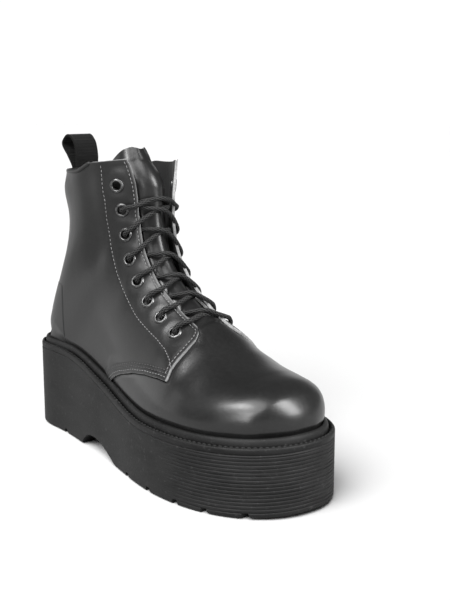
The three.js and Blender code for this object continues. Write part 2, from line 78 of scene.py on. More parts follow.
# Sections of the last from the toe to the collar, each in a plane across the boot: where it starts
# at the bottom and ends at the crest, its half widths, the share of its height where it is widest,
# the powers of its curve below and above that, and the Y of its middle line.
COLUMNS = ["base_x", "base_z", "crest_x", "crest_z", "lateral", "medial", "at", "low", "high", "mid"]
ON_SOLE = math.nan
SECTIONS = [
    (133.0, ON_SOLE, 133.0, 41.4, 0, 0, 0.4, 1.5, 2.0, 5.1),
    (132.2, ON_SOLE, 133.6, 52.0, 1.5, 11.5, 0.4, 1.5, 2.2, 5.0),
    (130.0, ON_SOLE, 133.8, 60.5, 8.5, 16.5, 0.4, 1.5, 2.2, 4.8),
    (125.0, ON_SOLE, 131.0, 68.3, 18.5, 25, 0.38, 1.5, 2.2, 4.4),
    (117.0, ON_SOLE, 125.5, 75.0, 30, 32.8, 0.36, 1.5, 2.2, 4.0),
    (106.0, ON_SOLE, 116.0, 79.8, 37.2, 40.2, 0.34, 1.5, 2.15, 3.5),
    (92.0, ON_SOLE, 102.0, 82.3, 44.0, 45.0, 0.32, 1.5, 2.05, 3.0),
    (77.0, ON_SOLE, 86.0, 85.4, 47.6, 48.0, 0.3, 1.5, 1.95, 2.6),
    (60.0, ON_SOLE, 69.0, 91.7, 49.0, 49.2, 0.27, 1.5, 1.87, 2.2),
    (43.0, ON_SOLE, 52.5, 101.6, 48.8, 47.6, 0.24, 1.5, 1.8, 2.0),
    (25.0, ON_SOLE, 36.5, 110.8, 46.8, 43.0, 0.22, 1.5, 1.8, 1.8),
    (5.0, ON_SOLE, 21.0, 121.0, 43.4, 37.2, 0.22, 1.5, 1.78, 1.7),
    (-18.0, ON_SOLE, 6.5, 132.5, 39.4, 33.2, 0.24, 1.5, 1.8, 1.6),
    (-45.0, ON_SOLE, -3.5, 145.5, 35.0, 32.4, 0.3, 1.5, 1.85, 1.5),
    (-75.0, ON_SOLE, -9.5, 157.0, 32.0, 33.8, 0.36, 1.5, 1.9, 1.5),
    (-102.0, ON_SOLE, -11.5, 166.0, 31.0, 35.2, 0.42, 1.6, 1.95, 1.5),
    (-122.0, ON_SOLE, -12.3, 173.0, 31.0, 35.4, 0.45, 2.2, 2.0, 1.5),
    (-135.0, 60.6, -12.8, 179.0, 30.2, 35.0, 0.48, 3.8, 2.0, 2.0),
    (-134.5, 80.0, -13.0, 185.0, 30.6, 34.8, 0.5, 2.8, 2.05, 2.0),
    (-120.5, 107.0, -13.2, 190.0, 31.4, 34.8, 0.5, 2.4, 2.05, 1.8),
    (-109.8, 132.0, -13.5, 195.0, 32.4, 35.2, 0.5, 2.2, 2.1, 1.6),
    (-105.2, 157.0, -13.8, 199.5, 33.4, 36.2, 0.5, 2.1, 2.1, 1.5),
    (-107.5, 180.0, -14.0, 203.0, 34.2, 37.0, 0.5, 2.1, 2.1, 1.5),
    (-106.5, 200.5, -14.0, 205.0, 35.0, 38.0, 0.5, 2.1, 2.1, 1.5),
    (-105.0, 216.0, -14.0, 219.0, 35.6, 38.6, 0.5, 2.1, 2.1, 1.5),
]
HEEL_ROW, COLLAR_ROW = 17, 23    # section rows of the heel's back and the collar's edge
LAST_ROW = len(SECTIONS) - 1
COLLAR_RISE = 8                  # the collar's front stands this much higher than its back
# Where along X it rises, on each side: from, to, share of the rise.
COLLAR_STEP = {LATERAL: [(-64, -43, 0.8), (-44, -16, 0.2)], MEDIAL: [(-92, -60, 1.0)]}
THROAT = [(9.5, 13), (12, 15), (16, 16), (20, 17.3), (24, 24)]       # section row, half width
EYELETS = 8
EYELET_INSET, EYELET_PITCH = 13.6, 17.7
EYELET_FROM_COLLAR = {LATERAL: 18, MEDIAL: 21.5}

# Front edge of a quarter over the vamp: mm from the crest line, section row.
QUARTER_FRONT = [
    (12.2, 9.5), (14.4, 9.25), (20, 9.05), (30, 8.96), (46, 8.93), (51, 8.85), (53.5, 8.83),
]
# Lower edge of a quarter over the vamp: section row, mm from the crest line.
QUARTER_LOWER = [
    (8.83, 53.5), (9.35, 56.5), (10.15, 62.3), (10.9, 69.8), (11.6, 80.8), (11.95, 88.6), (12.2, 97),
    (12.45, 108),
]
QUARTER_START = QUARTER_FRONT[0][1]     # section row where a quarter's front edge meets the throat
QUARTER_ROW_MM = 15.5                   # mm of leather to a section row at that edge

# Rear stitch line of a facing: section row, mm behind the throat edge.
FACING_STITCH = [
    (8.95, 32), (9.3, 29), (9.85, 26.4), (10.5, 25.6), (11.75, 26.8), (13.8, 27.6), (16.2, 29),
    (18.7, 28.6), (20.6, 25.6), (22.15, 21.4), (22.9, 20.4),
]
STITCH_TOP = 22.85                      # section row where a facing's stitching stops
FRONT_INSET = 2.6                       # mm from the throat edge to its own stitch line
LOWER_INSETS = (2.3, 4.5, 6.7)          # mm from a quarter's lower edge to its three stitch lines
LEATHER_THICK = 1.9
FACING_GAPE = 2.4                       # the medial facing's edge stands this far off the foot
FAR_DROP = 0.65                         # and its top ends this many section rows lower
RAW_EDGE = 0.75                         # mm of pale skived leather along a cut edge


# ---------------------------------------------------------------- small helpers
def smooth(low, high, x):
    t = np.clip((np.asarray(x, float) - low) / (high - low), 0, 1)
    return t * t * (3 - 2 * t)


def lerp(a, b, t):
    return a + (b - a) * t


def hump(x, at, wide):
    """A rounded peak, 1 high, over x = at."""
    return np.exp(-((x - at) / wide) ** 2)


def read(table, x):
    """Second column of a two-column table, at x in the first."""
    return np.interp(x, [row[0] for row in table], [row[1] for row in table])


def unit(vectors):
    return vectors / np.linalg.norm(vectors, axis=-1, keepdims=True)


def walked_along(path):
    """How far it is along a path to each of its points."""
    return np.concatenate([[0], np.cumsum(np.linalg.norm(np.diff(path, axis=0), axis=1))])


def places_at(goals, walked, values):
    """Points or directions known along a path, at the distances in goals."""
    return np.stack([np.interp(goals, walked, values[:, a]) for a in range(3)], 1)


def evenly(path, count):
    """The path again, with count points at even spacing."""
    walked = walked_along(path)
    return places_at(np.linspace(0, walked[-1], count), walked, path)


# ---------------------------------------------------------------- heights of the sole
def rim_z(x):
    """Height of the rim, where the welt's ledge lies."""
    spring = 2.8 * np.clip((x - 60) / (HALF - 60), 0, 1) ** 2
    return lerp(HEEL_HEIGHT, FORE_HEIGHT, smooth(-90, 39, x)) + spring


def sole_top_z(x):
    return rim_z(x) - WELT_BAND - GAP


def tread_z(x):
    """The tread lifts off the ground under the toe."""
    return 2.1 * np.clip((x - 85) / (HALF - 85), 0, 1) ** 2


# ---------------------------------------------------------------- sole outline
def waist_curve(side, x):
    """Half width between heel and ball: two cubics that meet at the waist."""
    middle = (side["heel_x"] + side["ball_x"]) / 2 - 8
    slope = 0.9 * (side["ball"] - side["heel"]) / (side["ball_x"] - side["heel_x"])
    if x < middle:
        x0, x1, w0, w1, s0, s1 = side["heel_x"], middle, side["heel"], side["waist"], 0, slope
    else:
        x0, x1, w0, w1, s0, s1 = middle, side["ball_x"], side["waist"], side["ball"], slope, 0
    t, span = (x - x0) / (x1 - x0), x1 - x0
    return lerp(w0, w1, t * t * (3 - 2 * t)) + span * (s0 * t * (1 - t) ** 2 - s1 * t * t * (1 - t))


def half_width(sign, x):
    side = OUTLINE[sign]
    if x < side["heel_x"]:
        t = (side["heel_x"] - x) / (side["heel_x"] + HALF)
        return side["heel"] * max(0, 1 - t ** HEEL_POWER) ** (1 / HEEL_POWER)
    if x > side["ball_x"]:
        t = (x - side["ball_x"]) / (HALF - side["ball_x"])
        return side["ball"] * max(0, 1 - t ** TOE_POWER) ** (1 / TOE_POWER)
    return waist_curve(side, x)


def edge_y(sign, x):
    """Y of the sole's edge; the toe swings medially and both ends close off their middle."""
    swing = 3.6 * np.clip((x - 20) / (HALF - 20), 0, 1) ** 2
    heel = (OUTLINE[MEDIAL]["heel"] - OUTLINE[LATERAL]["heel"]) / 2
    ends = heel * (1 - smooth(-HALF, OUTLINE[LATERAL]["heel_x"], x)) + 1.5 * smooth(90, HALF, x)
    width = half_width(sign, x)
    return swing + ends * (1 - np.clip(width / 20, 0, 1)) + sign * width


def outline_ring(count):
    """Points round the sole, from the heel's middle by the lateral side to the toe and back."""
    turns = 2 * math.pi * np.arange(count) / count
    xs = -HALF * np.cos(turns)
    return np.array([(x, edge_y(LATERAL if a <= math.pi else MEDIAL, x)) for x, a in zip(xs, turns)])


def inset_ring(ring, depth):
    """The ring again, depth mm inwards."""
    along = unit(np.roll(ring, -1, 0) - np.roll(ring, 1, 0))
    inward = np.stack([-along[:, 1], along[:, 0]], 1)
    return ring + inward * np.reshape(depth, (-1, 1))


def margin_at(x):
    """Width of the sole's rim outside the upper."""
    return lerp(6, 8, np.clip((x + 100) / 200, 0, 1))


CAD_RING = outline_ring(76)
CAD_FEATHER = inset_ring(CAD_RING, margin_at(CAD_RING[:, 0]))


def feather_y(x, sign):
    """Y of the feather line, where the upper meets the sole."""
    half = len(CAD_FEATHER) // 2
    medial = np.vstack([CAD_FEATHER[:1], CAD_FEATHER[half:][::-1]])
    side = CAD_FEATHER[:half + 1] if sign == LATERAL else medial
    return np.interp(x, side[:, 0], side[:, 1])


# ---------------------------------------------------------------- surface of the last
SECTION_TABLE = np.array(SECTIONS, float)
on_sole_rows = np.isnan(SECTION_TABLE[:, 1])
SECTION_TABLE[on_sole_rows, 1] = sole_top_z(SECTION_TABLE[on_sole_rows, 0]) - TUCK


def read_section(v):
    i = min(LAST_ROW - 1, int(v))
    t = v - i
    p0, p1, p2, p3 = [SECTION_TABLE[min(LAST_ROW, max(0, k))] for k in (i - 1, i, i + 1, i + 2)]
    m1, m2 = (p2 - p0) / 2, (p3 - p1) / 2
    row = p1 + t * m1 + t * t * (3 * (p2 - p1) - 2 * m1 - m2) + t ** 3 * (2 * (p1 - p2) + m1 + m2)
    section = dict(zip(COLUMNS, row))
    if v <= HEEL_ROW:
        section["base_z"] = sole_top_z(section["base_x"]) - TUCK
    section["rise"] = COLLAR_RISE * smooth(HEEL_ROW, COLLAR_ROW, v)
    return section


def section_side(v, sign, steps=96):
    """One side of a section, as points from the base to the crest."""
    s = read_section(v)
    wide = -s["lateral"] if sign == LATERAL else s["medial"]
    foot = feather_y(s["base_x"], sign) if v <= HEEL_ROW else s["mid"]
    turn = np.linspace(0, math.pi, steps + 1)
    low = turn < math.pi / 2
    power = 2 / np.where(low, s["low"], s["high"])
    c = np.abs(np.cos(turn)) ** power
    h = np.maximum(np.sin(turn), 0) ** power
    up = np.where(low, s["at"] * (1 - c), s["at"] + (1 - s["at"]) * c)
    y = np.where(low, lerp(foot, wide, h), lerp(s["mid"], wide, h))
    x = lerp(s["base_x"], s["crest_x"], up)
    step = sum(part * smooth(low_x, high_x, x) for low_x, high_x, part in COLLAR_STEP[sign])
    z = lerp(s["base_z"], s["crest_z"], up) + s["rise"] * step
    return np.stack([x, y, z], 1)


ROW_STEP = 0.02             # section rows from one row of the last's points to the next
SHARES = 240                # even steps from the base to the crest on each side


def build_last():
    """The last's sides at even arc-length shares, and the length of each side."""
    rows = np.arange(0, LAST_ROW + ROW_STEP / 2, ROW_STEP)
    shape = np.zeros((len(rows), 2, SHARES + 1, 3))
    length = np.zeros((len(rows), 2))
    for j, v in enumerate(rows):
        for k, sign in enumerate((LATERAL, MEDIAL)):
            points = section_side(v, sign)
            shape[j, k] = evenly(points, SHARES + 1)
            length[j, k] = walked_along(points)[-1]
    return eased(shape, length, rows)


EASE_SPREAD = 42            # steps of the last's rows over which the turn is rounded
EASE_IN, EASE_OUT = (14, 15.6), (18.4, 20)         # section rows where it comes in and goes out


def eased(shape, length, rows):
    """Rounds the turn of the sections over the heel, away from the sole and the back seam."""
    spread = np.arange(-2.5 * EASE_SPREAD, 2.5 * EASE_SPREAD + 1)
    kernel = np.exp(-(spread / EASE_SPREAD) ** 2 / 2)
    kernel /= kernel.sum()
    steps = np.clip(np.arange(len(rows))[:, None] + spread[None].astype(int), 0, len(rows) - 1)
    near = np.flatnonzero((rows > EASE_IN[0]) & (rows < EASE_OUT[1]))
    by_row = (smooth(*EASE_IN, rows[near]) * (1 - smooth(*EASE_OUT, rows[near])))[:, None]
    shares = np.linspace(0, 1, SHARES + 1)[None]
    weight = by_row * smooth(0.02, 0.3, shares) * (1 - 0.5 * smooth(0.75, 0.95, shares))
    blurred = np.tensordot(kernel, shape[steps[near]], axes=(0, 1))
    blurred_length = np.tensordot(kernel, length[steps[near]], axes=(0, 1))
    shape[near] = lerp(shape[near], blurred, weight[:, None, :, None])
    length[near] = lerp(length[near], blurred_length, by_row)
    return shape, length


LAST, GIRTH = build_last()


def last_point(v, t):
    """Points of the last: v is the section row, t runs from -1 (lateral base) by 0 (crest) to 1."""
    v, t = np.broadcast_arrays(np.asarray(v, float), np.asarray(t, float))
    r = np.clip(v / ROW_STEP, 0, len(LAST) - 1.000001)
    s = np.clip(1 - np.abs(t), 0, 1) * (SHARES - 1e-6)
    i, j, k = r.astype(int), s.astype(int), (t >= 0).astype(int)
    fr, fs = (r - i)[..., None], (s - j)[..., None]
    near = lerp(LAST[i, k, j], LAST[i, k, j + 1], fs)
    far = lerp(LAST[i + 1, k, j], LAST[i + 1, k, j + 1], fs)
    return lerp(near, far, fr)


def last_normal(v, t):
    """Outward unit direction of the last's surface."""
    v, t = np.broadcast_arrays(np.asarray(v, float), np.asarray(t, float))
    across = last_point(v, np.minimum(t + 0.01, 1)) - last_point(v, np.maximum(t - 0.01, -1))
    along = last_point(np.minimum(v + 0.05, LAST_ROW), t) - last_point(np.maximum(v - 0.05, 0), t)
    out = np.cross(across, along)
    return out / np.maximum(np.linalg.norm(out, axis=-1), 1e-9)[..., None]


def off_last(v, t, height=0.0):
    """Points that stand height mm off the last."""
    return last_point(v, t) + last_normal(v, t) * np.asarray(height, float)[..., None]


def girth(v, sign):
    """Length of one side of section v, from its base to its crest."""
    return np.interp(v, np.arange(len(GIRTH)) * ROW_STEP, GIRTH[:, 0 if sign == LATERAL else 1])


def share(v, reach):
    """t of the place that lies reach mm along the leather from the crest of section v."""
    reach = np.asarray(reach, float)
    return np.where(reach < 0, reach / girth(v, LATERAL), reach / girth(v, MEDIAL))


def throat_half(v):
    """Half width of the throat between the facings, along the leather."""
    return read(THROAT, v)


def eyelet_rows():
    """Section rows of the eyelets down one facing, top first, for each side."""
    rows = {}
    for sign in (LATERAL, MEDIAL):
        v = np.arange(COLLAR_ROW, 9, -0.02)
        path = last_point(v, share(v, sign * (throat_half(v) + EYELET_INSET)))
        goals = EYELET_FROM_COLLAR[sign] + EYELET_PITCH * np.arange(EYELETS)
        rows[sign] = np.interp(goals, walked_along(path), v)
    return rows


EYELET_ROWS = eyelet_rows()


def eyelet_place(sign, k):
    """Centre and outward direction of eyelet k, 0 at the top."""
    v = EYELET_ROWS[sign][k]
    t = share(v, sign * (throat_half(v) + EYELET_INSET))
    return last_point(v, t), last_normal(v, t)


# ---------------------------------------------------------------- finishes
class Field:
    """A number that changes over a surface: arithmetic on it adds Math nodes."""

    def __init__(self, tree, socket):
        self.tree = tree
        self.socket = socket

    def math(self, operation, *values):
        node = self.tree.nodes.new("ShaderNodeMath")
        node.operation = operation
        for place, value in zip(node.inputs, values):
            if isinstance(value, Field):
                self.tree.links.new(value.socket, place)
            else:
                place.default_value = value
        return Field(self.tree, node.outputs[0])

    def __add__(self, other):
        return self.math("ADD", self, other)

    __radd__ = __add__

    def __mul__(self, other):
        return self.math("MULTIPLY", self, other)

    __rmul__ = __mul__

    def __sub__(self, other):
        return self.math("SUBTRACT", self, other)

    def __rsub__(self, other):
        return self.math("SUBTRACT", other, self)

    def clamp(self):
        """Kept between 0 and 1."""
        node = self.math("ADD", self, 0.0)
        node.socket.node.use_clamp = True
        return node

    def above(self, low, high):
        """0 below low, 1 above high, smooth between."""
        node = self.tree.nodes.new("ShaderNodeMapRange")
        node.interpolation_type = "SMOOTHSTEP"
        self.tree.links.new(self.socket, node.inputs["Value"])
        node.inputs["From Min"].default_value = low
        node.inputs["From Max"].default_value = high
        return Field(self.tree, node.outputs["Result"])


class Finish:
    """A material under construction."""

    def __init__(self, name, **fixed):
        self.material = bpy.data.materials.new(name)
        self.material.use_nodes = True
        self.tree = self.material.node_tree
        self.surface = self.tree.nodes["Principled BSDF"]
        for socket, value in fixed.items():
            self.surface.inputs[socket.replace("_", " ")].default_value = value
        self.place = self.node("ShaderNodeTexCoord", out="Object")

    def node(self, kind, settings=None, out=0, **inputs):
        node = self.tree.nodes.new(kind)
        for name, value in (settings or {}).items():
            setattr(node, name, value)
        for name, value in inputs.items():
            socket = node.inputs[name.replace("_", " ")]
            if isinstance(value, Field):
                self.tree.links.new(value.socket, socket)
            else:
                socket.default_value = value
        return Field(self.tree, node.outputs[out])

    def cloud(self, scale, detail=3, roughness=0.5, place=None):
        """Soft noise, 0 to 1, scale features a metre."""
        return self.node("ShaderNodeTexNoise", Vector=place or self.place, Scale=scale,
                         Detail=detail, Roughness=roughness)

    def cells(self, scale, feature="F1"):
        """Distance from the middle of irregular cells."""
        return self.node("ShaderNodeTexVoronoi", {"feature": feature}, Vector=self.place,
                         Scale=scale, out="Distance")

    def stretched(self, scale):
        """The surface's places scaled along each axis, for a texture to read."""
        return self.node("ShaderNodeMapping", Vector=self.place, Scale=scale)

    def mark(self, name):
        """A number painted on the piece's points."""
        return self.node("ShaderNodeAttribute", {"attribute_name": name}, out="Fac")

    def blend(self, factor, first, second):
        node = self.tree.nodes.new("ShaderNodeMix")
        node.data_type = "RGBA"
        self.tree.links.new(factor.socket, node.inputs["Factor"])
        for place, colour in ((node.inputs[6], first), (node.inputs[7], second)):
            if isinstance(colour, Field):
                self.tree.links.new(colour.socket, place)
            else:
                place.default_value = (*colour, 1)
        return Field(self.tree, node.outputs[2])

    def wave(self, direction, scale, place=None, **more):
        """Even bands, 0 to 1, across one direction."""
        return self.node("ShaderNodeTexWave", {"bands_direction": direction},
                         Vector=place or self.place, Scale=scale, **more)

    def set(self, socket, value):
        self.tree.links.new(value.socket, self.surface.inputs[socket])

    def tones(self, mix, low, high, dark, light, warm=0.0):
        """Base colour: the dark grey where mix is below low, the light one above high."""
        self.set("Base Color", self.blend(mix.above(low, high), grey(dark, warm), grey(light, warm)))

    def relief(self, height, distance, strength):
        """Bump, distance metres deep at full height."""
        bump = self.node("ShaderNodeBump", out="Normal", Height=height, Distance=distance,
                         Strength=strength)
        self.set("Normal", bump)


def grey(value, warm=0.0):
    """A neutral colour, its red raised and its blue lowered by the share in warm."""
    return (value * (1 + warm), value, value * (1 - warm))


def leather_finish(name, dark, light, rough, shine=0.22, seams=True):
    """Smooth box leather: fine grain, soft mottling, pores; painted shade, rougher, along seams and
    edges.
    """
    f = Finish(name, Specular_IOR_Level=shine, Coat_Roughness=0.18)
    broad = f.cloud(16, 4, 0.55)
    fine = f.cloud(420, 5, 0.6)
    grain = f.cells(1500, "SMOOTH_F1")
    crinkle = f.cloud(210, 3, 0.5, f.stretched((1.0, 1.6, 0.45)))
    pores = f.cells(620).above(0.0, 0.16)
    tone = (broad * 0.7 + fine * 0.3).above(0.32, 0.68)
    colour = f.blend(tone, grey(dark), grey(light))
    height = grain * 0.35 + fine * 0.45 + crinkle * 0.5 + pores * 0.25
    gloss = rough + broad * 0.13 + fine * 0.07 - 0.1
    if seams:
        painted_shade = f.mark("painted_shade")
        raw = f.mark("raw")
        # painted shade: where the piece is marked, the colour is darkened towards a deeper grey and the
        # polish made rougher
        colour = f.blend(painted_shade * 0.75, colour, grey(dark * 0.45))
        colour = f.blend(raw * (0.55 + fine * 0.6), colour, grey(0.11))
        gloss = gloss + painted_shade * 0.12 + raw * 0.25
    f.set("Base Color", colour)
    f.set("Roughness", gloss)
    f.set("Coat Weight", (0.16 - broad * 0.18).clamp())
    f.relief(height, 0.00011, 0.55)
    return f.material


def cut_edge_finish():
    """Raw edge of the leather: pale, fibrous and matt."""
    f = Finish("cut_edge", Specular_IOR_Level=0.3)
    fibre = f.cloud(900, 6, 0.7)
    layer = f.cloud(60, 2)
    f.tones(fibre * 0.6 + layer * 0.4, 0.35, 0.65, 0.12, 0.26)
    f.set("Roughness", 0.72 + fibre * 0.2)
    f.relief(fibre, 0.0004, 0.6)
    return f.material


def lining_finish():
    """Inner face: brushed lining with a short nap."""
    f = Finish("lining", Specular_IOR_Level=0.1, Sheen_Weight=0.05, Sheen_Roughness=0.5)
    nap = f.cloud(1300, 4, 0.65)
    patch = f.cloud(30, 3)
    f.tones(nap * 0.5 + patch * 0.5, 0.3, 0.7, 0.005, 0.014)
    f.set("Roughness", 0.66 + nap * 0.2)
    f.relief(nap, 0.0003, 0.5)
    return f.material


def rubber_finish(name, dark, light, rough):
    """Moulded rubber: even, matt, mould texture, faint flow marks, a little dust; painted shade in
    marked recesses.
    """
    f = Finish(name, Specular_IOR_Level=0.13)
    mould = f.cloud(1500, 4, 0.6)
    flow = f.cloud(28, 4, 0.6, f.stretched((1, 1, 2.4)))
    dust = f.cloud(340, 6, 0.75).above(0.56, 0.72)
    colour = f.blend(flow.above(0.32, 0.68), grey(dark), grey(light))
    # painted shade: recesses marked on the piece are painted near-black
    colour = f.blend(f.mark("recess_shade") * 0.9, colour, grey(0.001))
    f.set("Base Color", f.blend(dust * 0.18, colour, grey(0.12)))
    f.set("Roughness", rough + flow * 0.14 + mould * 0.08 - 0.08)
    f.relief(mould * 0.7 + flow * 0.6, 0.00022, 0.5)
    return f.material


def metal_finish():
    """Black-nickel eyelets, rubbed brighter in random patches."""
    f = Finish("gunmetal", Metallic=1.0, Specular_IOR_Level=0.5)
    rub = f.cloud(900, 4, 0.6)
    f.tones(rub, 0.4, 0.66, 0.05, 0.12)
    f.set("Roughness", 0.32 + rub * 0.1)
    f.relief(rub, 0.00003, 0.3)
    return f.material


def thread_finish(name, dark, light):
    """Waxed thread with its twist."""
    f = Finish(name, Specular_IOR_Level=0.4)
    twist = f.wave("DIAGONAL", 900.0, Distortion=1.5)
    spot = f.cloud(500, 3)
    f.tones(twist * 0.5 + spot * 0.5, 0.25, 0.75, dark, light)
    f.set("Roughness", 0.5 + twist * 0.15)
    f.relief(twist, 0.0001, 0.6)
    return f.material


def braid_finish():
    """Round braided lace: dull black polyester; painted highlight on the strands, painted shade
    between.
    """
    f = Finish("lace_braid", Specular_IOR_Level=0.06, Sheen_Weight=0.02, Sheen_Roughness=0.4)
    strand = f.mark("strand")
    fluff = f.cloud(2600, 4, 0.7)
    # painted highlight and shade: the strands' raised crowns are lighter and the gaps between them
    # darker
    f.tones(strand * 0.8 + fluff * 0.4, 0.6, 1.05, 0.001, 0.045)
    f.set("Roughness", 0.62 + fluff * 0.2)
    f.relief(fluff, 0.0002, 0.5)
    return f.material


def webbing_finish():
    """Woven polyester tape, ribbed across."""
    f = Finish("webbing", Specular_IOR_Level=0.1, Sheen_Weight=0.02, Sheen_Roughness=0.45)
    uv = f.node("ShaderNodeTexCoord", out="UV")
    across = f.wave("X", 7.5, uv)
    along = f.wave("Y", 36.0, uv)
    fluff = f.cloud(2200, 4, 0.7)
    weave = across * along
    f.tones(weave * 0.7 + fluff * 0.4, 0.2, 0.9, 0.0015, 0.014)
    f.set("Roughness", 0.74 + fluff * 0.16)
    f.relief(weave * 0.8 + along * 0.5 + fluff * 0.3, 0.00035, 0.8)
    return f.material


def insole_finish():
    """Footbed cover: plain weave cloth, a little paler in soft random patches."""
    f = Finish("footbed", Specular_IOR_Level=0.25, Sheen_Weight=0.3, Sheen_Roughness=0.5)
    weave = f.wave("X", 320.0) * f.wave("Y", 320.0)
    patch = f.cloud(22, 4)
    f.tones(weave * 0.4 + patch * 0.6, 0.25, 0.75, 0.03, 0.075, warm=0.04)
    f.set("Roughness", 0.8 + weave * 0.1)
    f.relief(weave, 0.0003, 0.7)
    return f.material


def floor_finish():
    """White studio floor, very slightly uneven."""
    f = Finish("studio_floor", Specular_IOR_Level=0.2)
    soft = f.cloud(2.5, 2)
    f.tones(soft, 0.3, 0.7, 0.9, 0.93)
    f.set("Roughness", 0.7 + soft * 0.1)
    return f.material


LEATHER = leather_finish("box_leather", 0.005, 0.010, 0.40)
VAMP_LEATHER = leather_finish("vamp_leather", 0.005, 0.009, 0.31, 0.34)
TONGUE_LEATHER = leather_finish("tongue_leather", 0.005, 0.009, 0.34, 0.3)
BINDING = leather_finish("folded_binding", 0.006, 0.01, 0.5, seams=False)
CUT_EDGE = cut_edge_finish()
LINING = lining_finish()
SOLE_RUBBER = rubber_finish("sole_rubber", 0.006, 0.011, 0.56)
WELT_RUBBER = rubber_finish("welt_rubber", 0.004, 0.009, 0.5)
GUNMETAL = metal_finish()
DARK_THREAD = thread_finish("dark_thread", 0.012, 0.05)
GREY_THREAD = thread_finish("grey_thread", 0.05, 0.17)
BRAID = braid_finish()
WEBBING = webbing_finish()
FOOTBED = insole_finish()


# ---------------------------------------------------------------- making pieces
def alone(piece):
    """Makes the piece the only one that operators work on."""
    bpy.ops.object.select_all(action="DESELECT")
    piece.select_set(True)
    bpy.context.view_layer.objects.active = piece


def lay_grid(name, points):
    """A grid primitive laid on rows of points, in millimetres; columns by rows face outwards."""
    rows, columns = points.shape[:2]
    bpy.ops.object.select_all(action="DESELECT")
    bpy.ops.mesh.primitive_grid_add(x_subdivisions=columns - 1, y_subdivisions=rows - 1, size=1)
    piece = bpy.context.object
    piece.name = piece.data.name = name
    piece.data.vertices.foreach_set("co", (points * MM).ravel())
    piece.data.update()
    return piece


def mark(piece, name, values):
    """Paints a number on each point, for the finish to read."""
    layer = piece.data.attributes.new(name, "FLOAT", "POINT")
    layer.data.foreach_set("value", np.ravel(values).astype(np.float32))


def loose_mesh(name, points, edges, faces):
    """A piece made of bare points in millimetres, with their edges and faces."""
    mesh = bpy.data.meshes.new(name)
    mesh.from_pydata((np.asarray(points) * MM).tolist(), edges, faces)
    piece = bpy.data.objects.new(name, mesh)
    bpy.context.collection.objects.link(piece)
    return piece


def edit(piece, operator, **settings):
    """Runs one mesh operator on the whole piece."""
    alone(piece)
    bpy.ops.object.mode_set(mode="EDIT")
    bpy.ops.mesh.select_all(action="SELECT")
    operator(**settings)
    bpy.ops.object.mode_set(mode="OBJECT")


def merge(piece, distance=0.02):
    """Closes seams and poles: points nearer than distance become one."""
    edit(piece, bpy.ops.mesh.remove_doubles, threshold=distance * MM)


def face_outwards(piece):
    edit(piece, bpy.ops.mesh.normals_make_consistent, inside=False)


def apply(piece, kind, **settings):
    """Adds a modifier and applies it."""
    alone(piece)
    bpy.ops.object.modifier_add(type=kind)
    modifier = piece.modifiers[-1]
    for name, value in settings.items():
        setattr(modifier, name, value)
    bpy.ops.object.modifier_apply(modifier=modifier.name)


def thicken(piece, thickness, inner=0, rim=0):
    """Gives a skin its wall, thickness mm inwards; inner and rim name material slots."""
    apply(piece, "SOLIDIFY", thickness=thickness * MM, offset=-1.0, use_quality_normals=True,
          material_offset=inner, material_offset_rim=rim)


def soften(piece, width, segments=2, angle=50):
    """Rounds the edges that turn by more than angle degrees."""
    apply(piece, "BEVEL", width=width * MM, segments=segments, limit_method="ANGLE",
          angle_limit=math.radians(angle))


def join(name, pieces):
    """Several pieces as one mesh."""
    bpy.ops.object.select_all(action="DESELECT")
    for piece in pieces:
        piece.select_set(True)
    bpy.context.view_layer.objects.active = pieces[0]
    bpy.ops.object.join()
    pieces[0].name = pieces[0].data.name = name
    return pieces[0]


def hand_over(piece, slot, *nodes, angle=40):
    """Last step of every piece: shading, its body and the nodes it stands for; slot is not used."""
    alone(piece)
    bpy.ops.object.shade_smooth_by_angle(angle=math.radians(angle))
    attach(piece, "root")
    if nodes:
        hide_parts(*nodes)
    return piece


def give(piece, *materials):
    """Sets the piece's material slots."""
    piece.data.materials.clear()
    for material in materials:
        piece.data.materials.append(material)


def curve_through(points, per_span=12):
    """A smooth curve through the points (Catmull-Rom, spaced by chord)."""
    p = np.asarray(points, float)
    p = np.vstack([2 * p[0] - p[1], p, 2 * p[-1] - p[-2]])
    knots = np.concatenate([[0], np.cumsum(np.sqrt(np.linalg.norm(np.diff(p, axis=0), axis=1)))])
    curve = []
    for i in range(1, len(p) - 2):
        t0, t1, t2, t3 = knots[i - 1:i + 3]
        for t in np.linspace(t1, t2, per_span, endpoint=False):
            a1 = lerp(p[i - 1], p[i], (t - t0) / (t1 - t0))
            a2 = lerp(p[i], p[i + 1], (t - t1) / (t2 - t1))
            a3 = lerp(p[i + 1], p[i + 2], (t - t2) / (t3 - t2))
            b1 = lerp(a1, a2, (t - t0) / (t2 - t0))
            b2 = lerp(a2, a3, (t - t1) / (t3 - t1))
            curve.append(lerp(b1, b2, (t - t1) / (t2 - t1)))
    return np.array(curve + [p[-2]])


def frames_along(path):
    """Unit tangents and two cross directions that turn as little as they can."""
    tangent = unit(np.gradient(path, axis=0))
    side = np.zeros_like(path)
    side[0] = unit(np.cross(tangent[0], (0.3, 0.2, 0.93)))
    for i in range(1, len(path)):
        side[i] = unit(side[i - 1] - tangent[i] * (side[i - 1] @ tangent[i]))
    return tangent, side, np.cross(tangent, side)


def capped(rows):
    """Closes both ends of a tube's rows of points by drawing them to their middles."""
    def middle(row):
        return np.broadcast_to(row[:-1].mean(0), row.shape)[None]
    return np.concatenate([middle(rows[0]), rows, middle(rows[-1])])


# ---------------------------------------------------------------- leather panels
def on_leather(v, reach, height=0.0):
    """Points height mm off the last, reach mm from the crest of section v; lateral is negative."""
    return off_last(v, share(v, reach), height)


def quarter_edge_row(reach):
    """Section row at which a quarter begins, reach mm from the crest line."""
    front = read(QUARTER_FRONT, reach)
    lower = np.interp(reach, [r for _, r in QUARTER_LOWER], [v for v, _ in QUARTER_LOWER])
    return np.where(np.asarray(reach) < QUARTER_FRONT[-1][0], front, lower)


